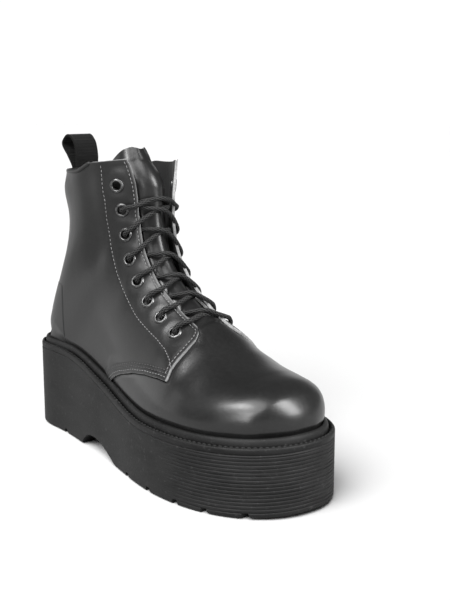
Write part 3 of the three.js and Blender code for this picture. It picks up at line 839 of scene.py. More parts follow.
def shifted(v, reach, sign, distance):
    """A line on the leather moved sideways by distance mm, towards the heel and the crest."""
    reach = sign * np.asarray(reach, float)
    here = on_leather(v, reach)
    by_row = (on_leather(v + 0.02, reach) - on_leather(v - 0.02, reach)) / 0.04
    by_reach = on_leather(v, reach + 0.5) - on_leather(v, reach - 0.5)
    along = np.gradient(here, axis=0)
    goal = np.cross(last_normal(v, share(v, reach)), along)
    goal *= (sign * distance / np.linalg.norm(goal, axis=1))[:, None]
    a, b, c = [(p * q).sum(1) for p, q in ((by_row, by_row), (by_row, by_reach), (by_reach, by_reach))]
    d, e = (by_row * goal).sum(1), (by_reach * goal).sum(1)
    det = a * c - b * b
    return v + (d * c - e * b) / det, reach + (a * e - b * d) / det


def facing_line(sign):
    """Rear stitch line of a facing, as section rows and reaches."""
    v = np.linspace(FACING_STITCH[0][0], STITCH_TOP, 300)
    return v, sign * (throat_half(v) + read(FACING_STITCH, v))


def front_line(sign, inset):
    """The line inset mm inside the throat edge and a quarter's front edge."""
    throat_row = np.linspace(STITCH_TOP, QUARTER_START + 0.25, 300)
    front_reach = np.linspace(15.5, 50.5, 90)
    front_row = quarter_edge_row(front_reach) + inset / QUARTER_ROW_MM
    reach = np.concatenate([throat_half(throat_row) + inset, front_reach])
    return np.concatenate([throat_row, front_row]), sign * reach


def lower_line(sign, inset):
    """The line inset mm above a quarter's lower edge, behind its front edge."""
    v = np.linspace(8.87, 12.3, 160)
    row, moved = shifted(v, read(QUARTER_LOWER, v), sign, inset)
    keep = quarter_edge_row(np.abs(moved)) < row - 0.06
    return row[keep], moved[keep]


def nearness(points, line, reach):
    """1 on a line of points, 0 from reach mm away."""
    flat = points.reshape(-1, 3)
    best = np.full(len(flat), 1e9)
    for part in np.array_split(line, max(1, len(line) // 40)):
        gap = np.linalg.norm(flat[:, None] - part[None], axis=2).min(1)
        best = np.minimum(best, gap)
    return (1 - np.clip(best / reach, 0, 1)).reshape(points.shape[:2]) ** 1.5


def undulation(points, amplitude, scale, seed):
    """Slow hand-lasted unevenness of the leather."""
    flat = points.reshape(-1, 3)
    offset = Vector((seed * 17.3, seed * 5.1, 0))
    values = [noise.noise(Vector(p) / scale + offset) for p in flat]
    return amplitude * np.array(values).reshape(points.shape[:-1])


# Troughs and ridges of the shaft: middle row and reach, half sizes in rows and mm, height, slant.
SHAFT_CREASES = {
    LATERAL: [
        (20.6, 58, 2.6, 10, -1.5, 0.0), (17.0, 62, 1.8, 13, -1.0, 0.0), (14.6, 66, 0.7, 30, -0.2, 6.0),
        (13.6, 52, 0.5, 20, -0.25, 5.0), (19.2, 92, 1.0, 30, 0.2, 3.0), (12.5, 45, 0.4, 16, -0.2, 4.0),
    ],
    MEDIAL: [
        (20.2, 60, 2.4, 11, -1.2, 0.0), (14.8, 64, 0.5, 24, -0.6, 8.0), (13.4, 50, 0.35, 18, -0.5, 6.0),
        (17.6, 96, 0.7, 26, 0.45, -5.0), (16.2, 44, 0.4, 16, -0.4, 4.0),
    ],
}


def shaft_creases(v, reach, sign):
    """How far the soft creases raise or lower the shaft's leather."""
    height = np.zeros(np.broadcast(v, reach).shape)
    for row, at, rows, wide, depth, slant in SHAFT_CREASES[sign]:
        along = (np.abs(reach) - at) / wide
        across = (v - row - along * slant / 60) / rows
        height += depth * np.exp(-along ** 2 - across ** 2)
    return height


def eyelet_puckers(points, sign):
    """The leather sinks a little round each eyelet and swells between them."""
    height = np.zeros(points.shape[:-1])
    for k in range(EYELETS):
        centre, _ = eyelet_place(sign, k)
        gap = np.linalg.norm(points - centre, axis=-1)
        height += 0.22 * hump(gap, 9, 3) - 0.3 * hump(gap, 0, 6)
    return height


def tuck(points):
    """The leather draws in behind the ridge of the welt."""
    above_rim = points[..., 2] - rim_z(points[..., 0])
    heel = 1 - smooth(-112, -86, points[..., 0])
    return -lerp(1.3, 2.2, heel) * (1 - smooth(3.4, lerp(8.5, 20, heel), above_rim))


def collar_draw(points, v):
    """The back of the collar swells, then turns in at its edge."""
    swell = 0.95 * hump(v, 22.15, 0.5) - 0.9 * smooth(19, 21, v) - smooth(22.3, COLLAR_ROW, v)
    return swell * (1 - smooth(-88, -66, points[..., 0]))


def quarter_height(v, reach, sign):
    """How far the quarter's face stands off the last, at a distance from the crest line."""
    points = on_leather(v, sign * reach)
    from_front = (v - quarter_edge_row(reach)) * QUARTER_ROW_MM
    from_throat = reach - throat_half(v)
    on_vamp = 1 - smooth(2, 16, from_front + 30 * smooth(12.3, 13.2, v))
    facing_edge = 1 - smooth(0, 9, from_throat)
    gape = FACING_GAPE if sign == MEDIAL else 0.5
    height = 0.35 + 1.0 * on_vamp + gape * facing_edge ** 2 * smooth(9.6, 12, v)
    height = height + shaft_creases(v, reach, sign) + eyelet_puckers(points, sign) + tuck(points)
    height = height + collar_draw(points, v)
    return height + undulation(points, 0.3, 34, 5 + sign) * smooth(0, 12, from_throat)


# Creases across the ball: section row, depth, half width in rows.
BALL_CREASES = [(8.35, -0.2, 0.26), (7.75, 0.14, 0.28), (7.2, -0.1, 0.3)]


def vamp():
    """Front of the upper from the feather line over the toe, running in under the quarters."""
    rows = np.linspace(0, 1, 190)[:, None]
    t = np.linspace(-1, 1, 181)[None]
    ends = lerp(9.9, 12.6, smooth(12, 26, np.abs(t) * 92))
    v = rows * ends
    t = np.broadcast_to(t, v.shape)
    reach = np.abs(t) * np.where(t < 0, girth(v, LATERAL), girth(v, MEDIAL))
    edge = quarter_edge_row(reach)
    under = smooth(-0.16, 0.12, v - edge)
    points = last_point(v, t)
    height = undulation(points, 0.12, 34, 3) * smooth(0.5, 3, v) - 0.95 * under + tuck(points)
    for row, depth, wide in BALL_CREASES:
        height += depth * hump(v, row, wide) * hump(reach, 34, 26)
    # painted shadow: a narrow dark band on the vamp along the quarter's edge, where the quarter
    # overlaps it
    shadow = hump(v - edge, -0.03, 0.09)
    piece = lay_grid("vamp", off_last(v, t, height))
    mark(piece, "painted_shade", shadow * 0.9)
    give(piece, VAMP_LEATHER, LINING, CUT_EDGE)
    merge(piece)
    thicken(piece, LEATHER_THICK, inner=1, rim=2)
    return hand_over(piece, "smooth_leather", "upper")


def quarter(name, sign):
    """One side of the shaft with its facing, lying over the vamp."""
    rows = np.linspace(0, 1, 230)
    across = np.linspace(0, 1, 150)[None]
    start = QUARTER_START
    top_row = (start + (COLLAR_ROW - start) * rows)[:, None]
    bottom_row = top_row - (start - QUARTER_LOWER[0][0]) * (1 - smooth(start, 12.6, top_row))
    top_t = throat_half(top_row) / girth(top_row, sign)
    bottom_t = np.minimum(1, read(QUARTER_LOWER, bottom_row) / girth(bottom_row, sign))
    bottom_t = np.where(bottom_row > QUARTER_LOWER[-1][0], 1, bottom_t)
    t = lerp(top_t, bottom_t, across)
    straight = lerp(top_row, bottom_row, across)
    front_reach = lerp(QUARTER_FRONT[0][0], QUARTER_FRONT[-1][0], across)
    bow = quarter_edge_row(np.minimum(front_reach, 53.4)) - lerp(start, QUARTER_FRONT[-1][1], across)
    v = straight + bow * (1 - smooth(start, 11.5, top_row))
    if sign == MEDIAL:
        v = v - FAR_DROP * (1 - smooth(0, 0.75, across)) * smooth(18, COLLAR_ROW, top_row)
    reach = t * girth(v, sign)
    points = last_point(v, sign * t)
    from_throat = reach - throat_half(v)
    gap = np.minimum(from_throat, (v - quarter_edge_row(reach)) * QUARTER_ROW_MM)
    lines = [facing_line(sign), front_line(sign, FRONT_INSET)]
    lines += [lower_line(sign, inset) for inset in LOWER_INSETS]
    stitched = np.concatenate([on_leather(*line) for line in lines])
    # nearness to the stitch lines: it sinks the leather into a groove there, and is painted as shade in
    # that groove
    painted_shade = nearness(points, stitched, 1.6)
    height = quarter_height(v, reach, sign) - 0.22 * painted_shade
    painted_shade = painted_shade * 0.6
    below_top = (COLLAR_ROW - top_row) * 14 + 40 * smooth(60, 90, reach)
    thin = 1 - 0.45 * smooth(1, 6, from_throat)
    raw = thin * np.exp(-(np.minimum(np.abs(gap), np.abs(below_top)) / RAW_EDGE / thin) ** 2)
    laid = off_last(v, sign * t, height)
    if sign == LATERAL:
        laid, painted_shade, raw = laid[:, ::-1], painted_shade[:, ::-1], raw[:, ::-1]
    piece = lay_grid(name, laid)
    mark(piece, "painted_shade", painted_shade)
    mark(piece, "raw", raw)
    give(piece, LEATHER, LINING, CUT_EDGE)
    punch(piece, sign)
    thicken(piece, LEATHER_THICK, inner=1, rim=2)
    soften(piece, 0.25)
    return hand_over(piece, "smooth_leather", "upper")


PUNCH_RADIUS = 3.7


def punch(piece, sign):
    """Takes out the faces inside each eyelet's barrel."""
    alone(piece)
    shape = bmesh.new()
    shape.from_mesh(piece.data)
    centres = [Vector(eyelet_place(sign, k)[0] * MM) for k in range(EYELETS)]
    inside = [f for f in shape.faces
              if any((f.calc_center_median() - c).length < PUNCH_RADIUS * MM for c in centres)]
    bmesh.ops.delete(shape, geom=inside, context="FACES")
    shape.to_mesh(piece.data)
    shape.free()


STRIP_X = -93               # the back strip's front edge stands upright here on the heel
STRIP_BAND = 15             # and runs up the back seam this wide


def strip_edge(rows):
    """How far up the leather the back strip reaches at each section row."""
    t = np.linspace(-1, -0.3, 300)
    upright = [1 + np.interp(STRIP_X, last_point(v, t)[:, 0], t) for v in rows]
    return lerp(np.array(upright) * girth(rows, LATERAL), STRIP_BAND, smooth(17.9, 20, rows))


COUNTER_STEPS = 60          # rows of the strip's points that end on the sole, below the back seam


def back_strip():
    """Heel counter and strip over the back seam, narrowing to the collar."""
    low, high = np.linspace(15.1, HEEL_ROW, COUNTER_STEPS), np.linspace(HEEL_ROW + 0.02, 22.9, 120)
    rows = np.concatenate([low, high])[:, None]
    width = strip_edge(rows[:, 0])[:, None]
    halves = []
    for sign in (LATERAL, MEDIAL):
        up = width * np.linspace(1, 0, 60)[None]
        v = np.broadcast_to(rows, up.shape)
        reach = girth(v, sign) - up
        edge = width - up
        height = quarter_height(v, reach, sign) + 0.32 - 0.3 * (1 - smooth(0, 1.4, edge))
        points, shade = off_last(v, sign * reach / girth(v, sign), height), np.exp(-edge / 0.8)
        if sign == MEDIAL:
            points[COUNTER_STEPS:, -1] = seam_line
        seam_line = points[COUNTER_STEPS:, -1].copy()
        if sign == LATERAL:
            points, shade = points[:, ::-1], shade[:, ::-1]
        half = lay_grid("back_strip", points)
        # painted shade: the strip darkens towards its front edge, where it stands proud of the quarter
        mark(half, "painted_shade", shade * 0.3)
        halves.append(half)
    piece = join("back_strip", halves)
    give(piece, LEATHER)
    merge(piece, 0.02)
    thicken(piece, 1.0)
    return hand_over(piece, "smooth_leather", "upper")


# Section of an eyelet, barrel, rolled flange and washer: radius, height off the leather.
EYELET_PROFILE = [
    (3.0, -1.9), (2.98, 0.6), (3.1, 1.0), (3.42, 1.28), (3.85, 1.36), (4.35, 1.24), (4.75, 0.95),
    (4.98, 0.6), (4.86, 0.38), (3.4, 0.34), (3.36, -1.6), (4.0, -1.75), (4.5, -2.0), (4.4, -2.35),
    (3.8, -2.5), (3.2, -2.4),
]


def ring_shape():
    """One eyelet about the Z axis: a closed profile spun once round."""
    count = len(EYELET_PROFILE)
    closed = [(i, (i + 1) % count) for i in range(count)]
    piece = loose_mesh("eyelet_profile", [(r, 0, z) for r, z in EYELET_PROFILE], closed, [])
    edit(piece, bpy.ops.mesh.spin, steps=28, angle=2 * math.pi, center=(0, 0, 0), axis=(0, 0, 1))
    merge(piece, 0.01)
    face_outwards(piece)
    return piece


def eyelets():
    """Two rows of eyelets, each square to the leather that it sits in."""
    pattern = ring_shape()
    for side, sign in (("lateral", LATERAL), ("medial", MEDIAL)):
        for k in range(EYELETS):
            centre, out = eyelet_place(sign, k)
            row = EYELET_ROWS[sign][k]
            leather = quarter_height(np.array(row), throat_half(row) + EYELET_INSET, sign)
            centre = centre + out * (float(leather) - 0.1)
            piece = bpy.data.objects.new(f"ring_{side}_{k + 1}", pattern.data.copy())
            bpy.context.collection.objects.link(piece)
            turn = Vector((0, 0, 1)).rotation_difference(Vector(out)).to_matrix().to_4x4()
            piece.data.transform(Matrix.Translation(Vector(centre * MM)) @ turn)
            give(piece, GUNMETAL)
            hand_over(piece, "black_metal", f"eyelet_{side}_{k + 1}")
    bpy.data.objects.remove(pattern)


# ---------------------------------------------------------------- sewing
def stitch_places(path, out, pitch):
    """Even places along a path: centre, direction and outward side of each stitch."""
    walked = walked_along(path)
    goals = np.arange(pitch / 2, walked[-1] - pitch / 4, pitch)
    centre, up = places_at(goals, walked, path), places_at(goals, walked, out)
    along = unit(places_at(goals, walked, np.gradient(path, axis=0)))
    up -= along * (up * along).sum(1)[:, None]
    return centre, along, unit(up)


def one_stitch(length, width, thick):
    """A single stitch lying along X, its ends drawn down into the leather."""
    bpy.ops.object.select_all(action="DESELECT")
    bpy.ops.mesh.primitive_uv_sphere_add(segments=8, ring_count=6, radius=1)
    piece = bpy.context.object
    shape = np.array([tuple(v.co) for v in piece.data.vertices])
    faces = [tuple(p.vertices) for p in piece.data.polygons]
    bpy.data.objects.remove(piece)
    x, y, z = shape[:, 2], shape[:, 0], shape[:, 1]
    x = np.sign(x) * np.abs(x) ** 0.8
    points = np.stack([x * length / 2, y * width / 2, z * thick / 2 - 0.4 * thick * x ** 4], 1)
    return points, [f[::-1] for f in faces]


def sew(name, rows, thread, slot, pitch, length, width, thick, slant=0.0):
    """Every stitch of several rows as one joined mesh; a row is its path and outward side."""
    shape, faces = one_stitch(length, width, thick)
    points, all_faces = [], []
    for path, out in rows:
        for centre, along, up in zip(*stitch_places(path, out, pitch)):
            side = np.cross(up, along)
            lean = along * math.cos(slant) + side * math.sin(slant)
            cross = np.cross(up, lean)
            start = len(points) * len(shape)
            points.append(centre + shape @ np.stack([lean, cross, up]))
            all_faces += [tuple(i + start for i in face) for face in faces]
    piece = loose_mesh(name, np.concatenate(points), [], all_faces)
    give(piece, thread)
    face_outwards(piece)
    return hand_over(piece, slot, angle=80)


def quarter_row(sign, v, reach):
    """A line on a quarter as a stitch row: its path, pressed 0.1 mm in, and outward side."""
    t = share(v, reach)
    return off_last(v, t, quarter_height(v, np.abs(reach), sign) - 0.1), last_normal(v, t)


def stitch_rows():
    """All the upper's stitching: two rows round each facing, three along each lower edge."""
    facing, lower = [], []
    for sign in (LATERAL, MEDIAL):
        for line in (facing_line(sign), front_line(sign, FRONT_INSET)):
            facing.append(quarter_row(sign, *line))
        lower += [quarter_row(sign, *lower_line(sign, inset)) for inset in LOWER_INSETS]
    sizes = dict(pitch=2.9, length=2.1, width=0.62, thick=0.5)
    sew("facing_stitches", facing, GREY_THREAD, "smooth_leather", **sizes)
    sew("quarter_stitches", [lower[0], lower[3]], GREY_THREAD, "smooth_leather", **sizes)
    sew("quarter_inner_stitches", lower[1:3] + lower[4:6], DARK_THREAD, "smooth_leather", **sizes)


BINDING_STEPS = 220
BINDING_SECTION = (1.55, 1.7)           # half width, half height
BINDING_ENDS = {LATERAL: -46, MEDIAL: -86}      # X where the binding stops on each side


def collar_binding():
    """Thin folded binding over the collar's back edge, ending where the collar steps up."""
    t = np.linspace(-1, 1, 801)
    ends = np.where(t < 0, BINDING_ENDS[LATERAL], BINDING_ENDS[MEDIAL])
    low = last_point(COLLAR_ROW, t)[:, 0] < ends
    sides = []
    for part in (t[low & (t > 0)], t[low & (t < 0)]):
        drawn = collar_draw(last_point(COLLAR_ROW, part), COLLAR_ROW)
        sides.append(off_last(COLLAR_ROW, part, 0.2 + drawn))
    path = evenly(np.concatenate(sides), BINDING_STEPS)
    path -= np.array([0, 0, 0.3])
    up = np.array([0, 0, 1.0])
    out = unit(np.cross(np.gradient(path, axis=0), up))
    steps = np.arange(BINDING_STEPS)
    taper = np.minimum(1, np.minimum(steps, BINDING_STEPS - 1 - steps) / 4 + 0.2)[:, None]
    wide, tall = BINDING_SECTION
    rows = np.stack([path + taper * (out * wide * math.cos(a) + up * tall * math.sin(a)) - out * 0.95
                     for a in np.linspace(0, 2 * math.pi, 17)], 1)
    piece = lay_grid("collar_binding", capped(rows))
    give(piece, BINDING)
    merge(piece)
    face_outwards(piece)
    return hand_over(piece, "smooth_leather", angle=80)


# ---------------------------------------------------------------- tongue
TONGUE = dict(low=8.7, top=23.25, drop=0.45, reach=30, base_reach=21, sink=3, thick=2.4)
TONGUE_LEAN = dict(by=12, shift=-6, start=19)
TONGUE_STRAIGHT = 22.3      # above this row the tongue runs on straight
TONGUE_WING = dict(reach=26, drop=0.75)        # wider and lower on the lateral side at the top
TONGUE_FOLDS = [(0.05, 0.16, 0.6), (-0.3, 0.14, -0.8), (0.38, 0.13, -0.9)]   # at, half width, height


def tongue():
    """Padded tongue under the laces, its top standing above the collar and leaning back."""
    k = np.linspace(-1, 1, 70)[None]
    rows = np.linspace(0, 1, 150)[:, None]
    lateral = smooth(0, 1, -k)
    edge_drop = TONGUE["drop"] * k ** 4 + TONGUE_WING["drop"] * smooth(0.45, 1, -k)
    edge_drop = edge_drop + 1.2 * smooth(0.7, 1, k)
    v = lerp(TONGUE["low"], TONGUE["top"] - edge_drop, rows)
    wide = lerp(TONGUE["base_reach"], TONGUE["reach"], smooth(TONGUE["low"], 16, v))
    run = np.clip((v - TONGUE_LEAN["start"]) / (TONGUE["top"] - TONGUE_LEAN["start"]), 0, 1)
    back = np.where(run < 0.5, smooth(0, 1, run), 1.5 * run - 0.25)
    wide = wide + TONGUE_WING["reach"] * back * lateral
    reach = k * wide + TONGUE_LEAN["shift"] * back
    tucked = smooth(0.42, 0.8, np.abs(k)) * 2.6
    folds = sum(height * hump(k, at, wide) for at, wide, height in TONGUE_FOLDS)
    folds = folds - 5 * smooth(0.3, 0.9, k) * smooth(16, 20, v) * (1 - 0.8 * smooth(21.3, 22.8, v))
    sink = TONGUE["sink"] + TONGUE_LEAN["by"] * back + tucked - folds * smooth(10, 13, v)
    ruled = np.minimum(v, TONGUE_STRAIGHT)
    points = on_leather(ruled, reach, -sink)
    rise = (points - on_leather(ruled - 0.5, reach, -sink)) / 0.5
    points = points + rise.mean(axis=1, keepdims=True) * np.maximum(v - ruled, 0)[..., None]
    points += undulation(points, 0.35, 16, 9)[..., None] * last_normal(ruled, share(ruled, reach))
    piece = lay_grid("boot_tongue", points)
    # painted shade: the tongue darkens towards its side edges, which run under the facings, and along
    # its top edge
    edge = np.maximum(np.exp(-(1 - np.abs(k)) * 30), np.exp(-(1 - rows) * 120))
    mark(piece, "painted_shade", edge * 0.4)
    give(piece, TONGUE_LEATHER, LINING, CUT_EDGE)
    thicken(piece, TONGUE["thick"], inner=1, rim=2)
    soften(piece, 0.5, 3)
    return hand_over(piece, "smooth_leather", "tongue")


# ---------------------------------------------------------------- pull loop
LOOP = dict(width=19.5, thick=1.5, rise=26, tail=14, bulge=5, lean=9.5)
LOOP_STEPS = 130
RIB_STEPS = 3.25            # steps of the loop's length to one rib of its weave
WALL = 2                    # the upper's wall, which the loop's feet stand astride
HEEL_SAG = 2.2              # the inner foot stands this much further from the wall


def pull_loop():
    """Ribbed tape folded over the collar's back, standing up as an open loop."""
    back = last_point(COLLAR_ROW, -1.0)
    mid = back[0] + WALL / 2
    inner = WALL / 2 + GAP + 1.2
    top = back[2] + LOOP["rise"] - 1.8
    bulge, lean = LOOP["bulge"], LOOP["lean"]

    def leg(side):
        clear = inner if side < 0 else inner + HEEL_SAG
        return [
            (mid + side * clear, back[2] - LOOP["tail"]),
            (mid + side * (inner - 1) - 1.5, back[2] + 1),
            (mid + side * (inner + bulge * 0.5) - lean * 0.5, back[2] + LOOP["rise"] * 0.4),
            (mid + side * (inner + bulge) - lean, top - bulge * 1.1),
        ]

    crown = [(mid - lean + k * (inner + bulge), top - bulge * 1.1 * k * k)
             for k in (-0.75, -0.4, 0, 0.4, 0.75)]
    bend = leg(-1) + crown + leg(1)[::-1]
    line = evenly(curve_through([(x, 0, z) for x, z in bend]), LOOP_STEPS)
    across = np.linspace(-1, 1, 25)
    tangent = np.gradient(line, axis=0)
    out = unit(np.stack([-tangent[:, 2], 0 * line[:, 0], tangent[:, 0]], 1))
    ribs = 0.16 * np.cos(2 * math.pi * np.arange(LOOP_STEPS) / RIB_STEPS)
    selvedge = 0.25 * smooth(0.84, 0.97, np.abs(across))
    lift = ribs[:, None] * (1 - smooth(0.82, 0.9, np.abs(across)))[None] + selvedge[None] + 1.6
    points = line[:, None] + out[:, None] * lift[..., None]
    points[..., 1] += back[1] + across[None] * LOOP["width"] / 2
    piece = lay_grid("pull_tab", points)
    give(piece, WEBBING)
    face_from(piece, line[:, None] + [0, back[1], 0])
    thicken(piece, LOOP["thick"])
    soften(piece, 0.3, 2, 60)
    return hand_over(piece, "webbing", "pull_loop")


def face_from(piece, line):
    """Turns a skin so that its faces look away from a line inside its bend."""
    first = piece.data.polygons[len(piece.data.polygons) // 2]
    middle = Vector(line.reshape(-1, 3).mean(0) * MM)
    if first.normal.dot(first.center - middle) < 0:
        piece.data.flip_normals()


# ---------------------------------------------------------------- lace
LACE = 1.6                  # radius
LACE_STEP = 0.5             # mm from one ring of its points to the next
BRAID_TURN = 3.4            # mm of lace to one turn of a strand
TOP_RISE = 0.05             # the top pair runs nearly level, this many section rows up
CROSS_SAG = 0.45            # section rows by which a crossing hangs below its straight line
BRAID_STRANDS = 12


def crossing_points(sign, k, over):
    """A lace from under one facing through eyelet k, over the tongue, to the next eyelet up."""
    v0 = EYELET_ROWS[sign][k]
    v1 = EYELET_ROWS[-sign][k - 1] if k > 1 else EYELET_ROWS[-sign][k] + TOP_RISE
    edge, far = throat_half(v0), throat_half(v1)
    lift = 1.9 * LACE if over else 0.0

    def sag(s):
        return lerp(v0, v1, s) - CROSS_SAG * math.sin(math.pi * s) ** 0.6

    stops = [
        (v0, edge + EYELET_INSET, -3.6), (v0, edge + EYELET_INSET, -1.0),
        (v0 + 0.02, edge + EYELET_INSET - 0.6, 1.9), (v0, edge + EYELET_INSET - 4.8, 3.3),
        (sag(0.2), edge + 1.5, 2.7), (sag(0.36), edge * 0.6, 0.6 + lift * 0.4),
        (sag(0.52), 0, -0.6 + lift), (sag(0.68), -far * 0.5, -0.9 + lift * 0.4),
        (sag(0.82), -(far - 1.5), -2.2), (lerp(v0, v1, 0.92) - 0.15, -(far + 5), -4.2),
        (v1, -(far + EYELET_INSET - 1), -4.6),
    ]
    return [on_leather(v, sign * reach, height) for v, reach, height in stops]


def lace_route():
    """Both halves of the lace from the bar at the bottom to the hidden ends beside the top pair."""
    halves = []
    for start in (LATERAL, MEDIAL):
        points, sign = [], start
        for k in range(EYELETS - 1, 0, -1):
            points += crossing_points(sign, k, over=sign == MEDIAL)
            sign = -sign
        halves.append(points[:-1])
    v = EYELET_ROWS[LATERAL][EYELETS - 1]
    reach = throat_half(v) + EYELET_INSET - 2
    stops = [(-1, -4.4), (-0.66, -2.6), (-0.3, -0.6), (0.3, -0.6), (0.66, -2.6), (1, -4.4)]
    bar = [on_leather(v, s * reach, height) for s, height in stops]
    return halves[0][::-1] + bar + halves[1]


def lace():
    """The whole lace: a round braid of raised strands along its route."""
    path = curve_through(lace_route(), 10)
    length = walked_along(path)[-1]
    count = int(length / LACE_STEP)
    path = evenly(path, count)
    _, side, up = frames_along(path)
    turns = np.linspace(0, 2 * math.pi, 25)
    s = np.arange(count) * length / count
    round_it, along_it = BRAID_STRANDS / 2 * turns[None], 2 * math.pi * s[:, None] / BRAID_TURN
    strand = np.maximum(np.sin(round_it + along_it), np.sin(round_it - along_it))
    radius = LACE * (0.92 + 0.08 * strand)
    ring = side[:, None] * np.cos(turns)[None, :, None] + up[:, None] * np.sin(turns)[None, :, None]
    rows = path[:, None] + ring * radius[..., None]
    piece = lay_grid("lace", capped(rows))
    mark(piece, "strand", np.concatenate([strand[:1], strand, strand[-1:]]) * 0.5 + 0.5)
    give(piece, BRAID)
    merge(piece, 0.005)
    face_outwards(piece)
    crossings = [f"lace_cross_{i + 1}" for i in range(EYELETS - 1)]
    hand_over(piece, "lace_cord", "lace_bar", *crossings, angle=80)
    print("lace length, mm:", round(length))
    return piece


# ---------------------------------------------------------------- bottom unit
AROUND = 320                # steps round the sole
SIDE_GROOVES = 16
GROOVE_CUT = (0.0, 0.0, 0.0, 1.0, 0.25)         # depth at each step up a rib and its groove


def ring_rows(levels):
    """Rows of points round the boot from (ring, height) levels, the first column repeated."""
    rows = [np.column_stack([ring, np.broadcast_to(z, len(ring))]) for ring, z in levels]
    rows = np.array(rows)
    return np.concatenate([rows, rows[:, :1]], 1)


def close_flat(piece, rows, columns, first):
    """Closes a ring of the piece by strips from its lateral to its medial side."""
    shape = bmesh.new()
    shape.from_mesh(piece.data)
    shape.verts.ensure_lookup_table()
    ring = [shape.verts[(0 if first else rows - 1) * columns + i] for i in range(columns - 1)]
    half = len(ring) // 2
    for i in range(half):
        a, b = ring[i], ring[i + 1]
        c, d = ring[-i - 1], ring[-i % len(ring)]
        corners = [p for n, p in enumerate((a, b, c, d)) if p not in (a, b, c, d)[:n]]
        if len(corners) > 2:
            shape.faces.new(corners[::-1] if first else corners)
    shape.to_mesh(piece.data)
    shape.free()


def sole():
    """Unit sole: ribbed round the toe, plain at waist and heel, arched and lugged underneath."""
    ring = outline_ring(AROUND)
    x = ring[:, 0]
    top, tread = sole_top_z(x), tread_z(x)
    fade = smooth(52, 84, x)
    grain = np.array([noise.noise(Vector((a / 9, b / 9, 3))) for a, b in ring])
    levels = [(inset_ring(ring, 2.2), tread), (inset_ring(ring, 0.9), tread + 0.35),
              (inset_ring(ring, 0.25), tread + 1.1), (ring, tread + 2.0)]
    each = len(GROOVE_CUT)
    steps = SIDE_GROOVES * each
    for i in range(1, steps + 1):
        up = i / steps
        patchy = np.array([noise.noise(Vector((a / 16, b / 16, i // each * 1.7))) for a, b in ring])
        depth = GROOVE_CUT[i % each] * 0.5 * fade * np.clip(0.85 + 0.6 * patchy + 0.3 * grain, 0.2, 1.2)
        levels.append((inset_ring(ring, depth), lerp(tread + 2.0, top - 0.6, up)))
    levels += [(inset_ring(ring, 0.3), top - 0.15), (inset_ring(ring, 0.7), top + GAP)]
    rows = ring_rows(levels)
    piece = lay_grid("unit_sole", rows)
    close_flat(piece, len(rows), AROUND + 1, first=True)
    close_flat(piece, len(rows), AROUND + 1, first=False)
    merge(piece)
    give(piece, SOLE_RUBBER)
    cutter = sole_cutter()
    apply(piece, "BOOLEAN", operation="DIFFERENCE", object=cutter, solver="EXACT")
    bpy.data.objects.remove(cutter)
    return hand_over(piece, "sole_rubber", "sole", angle=35)


ARCH = [(-64, -1), (-58, 6), (-50, 10.5), (-40, 11.6), (-29, 10.4), (0, -1)]        # X, Z
LUG_GAPS = dict(width=4, depth=3.6, heel=(-90,), fore=(16, 46, 74, 97, 121))


def bar_across(name, profile, reach=80):
    """A bar along Y with the given side view, drawn as a face and extruded."""
    face = tuple(range(len(profile)))
    piece = loose_mesh(name, [(x, -reach, z) for x, z in profile], [], [face])
    edit(piece, bpy.ops.mesh.extrude_region_move,
         TRANSFORM_OT_translate={"value": (0, 2 * reach * MM, 0)})
    face_outwards(piece)
    return piece


def sole_cutter():
    """Everything cut out of the sole from below: the arch and the gaps between lugs."""
    arch = curve_through([(x, 0, z) for x, z in ARCH[1:-1]], 8)
    bars = [bar_across("arch", [ARCH[0], *[(p[0], p[2]) for p in arch], ARCH[-1]])]
    half = LUG_GAPS["width"] / 2
    for x in LUG_GAPS["heel"] + LUG_GAPS["fore"]:
        roof = LUG_GAPS["depth"] + float(tread_z(x))
        flank = [(-half - 1, -1), (-half, roof - 0.6), (-half + 0.6, roof)]
        profile = flank + [(-across, z) for across, z in flank[::-1]]
        bars.append(bar_across("gap", [(x + across, z) for across, z in profile]))
    return join("sole_cutter", bars)


# Section of the welt, from its outer foot over the ledge, the channel and the ridge to its inner
# foot: which edge it is measured from, how far in or out, and height above the rim.
WELT_SECTION = [
    ("rim", 0.45, -4.2), ("rim", 0.0, -3.7), ("rim", 0.0, -1.5), ("rim", 0.12, -0.8),
    ("rim", 0.5, -0.22), ("rim", 1.1, 0.0), ("rim", 1.6, 0.0), ("foot", 4.95, -0.1),
    ("foot", 4.65, -1.2), ("foot", 4.35, -2.1), ("foot", 3.95, -2.1), ("foot", 3.7, -0.9),
    ("foot", 3.5, 1.0), ("foot", 3.3, 2.1), ("foot", 3.0, 3.2), ("foot", 2.4, 4.0),
    ("foot", 1.6, 4.35), ("foot", 0.9, 4.25), ("foot", 0.3, 3.7), ("foot", -0.6, 2.6),
    ("foot", -0.6, -4.2), ("rim", 0.45, -4.2),
]


def foot_ring(count, outward):
    """Ring round the upper's foot, scaled to the rim's width so that the section fits."""
    ring = outline_ring(count)
    margin = margin_at(ring[:, 0])
    return inset_ring(ring, margin - outward * margin / 7.4)


def welt():
    """Moulded welt: a ledge round the sole, a channel, and a ridge against the upper."""
    ring = outline_ring(AROUND)
    rim = rim_z(ring[:, 0])
    levels = [(inset_ring(ring, along) if edge == "rim" else foot_ring(AROUND, along), rim + z)
              for edge, along, z in WELT_SECTION]
    piece = lay_grid("rim_welt", ring_rows(levels))
    # painted shade: the channel's floor and walls and the welt's inner face against the upper are
    # painted near-black
    painted_recess = [np.full(AROUND + 1, float(edge == "foot" and (3.6 < along < 4.7 or along < 0.5)))
            for edge, along, _ in WELT_SECTION]
    mark(piece, "recess_shade", np.array(painted_recess))
    give(piece, WELT_RUBBER)
    merge(piece)
    return hand_over(piece, "welt_rubber", "welt", angle=50)


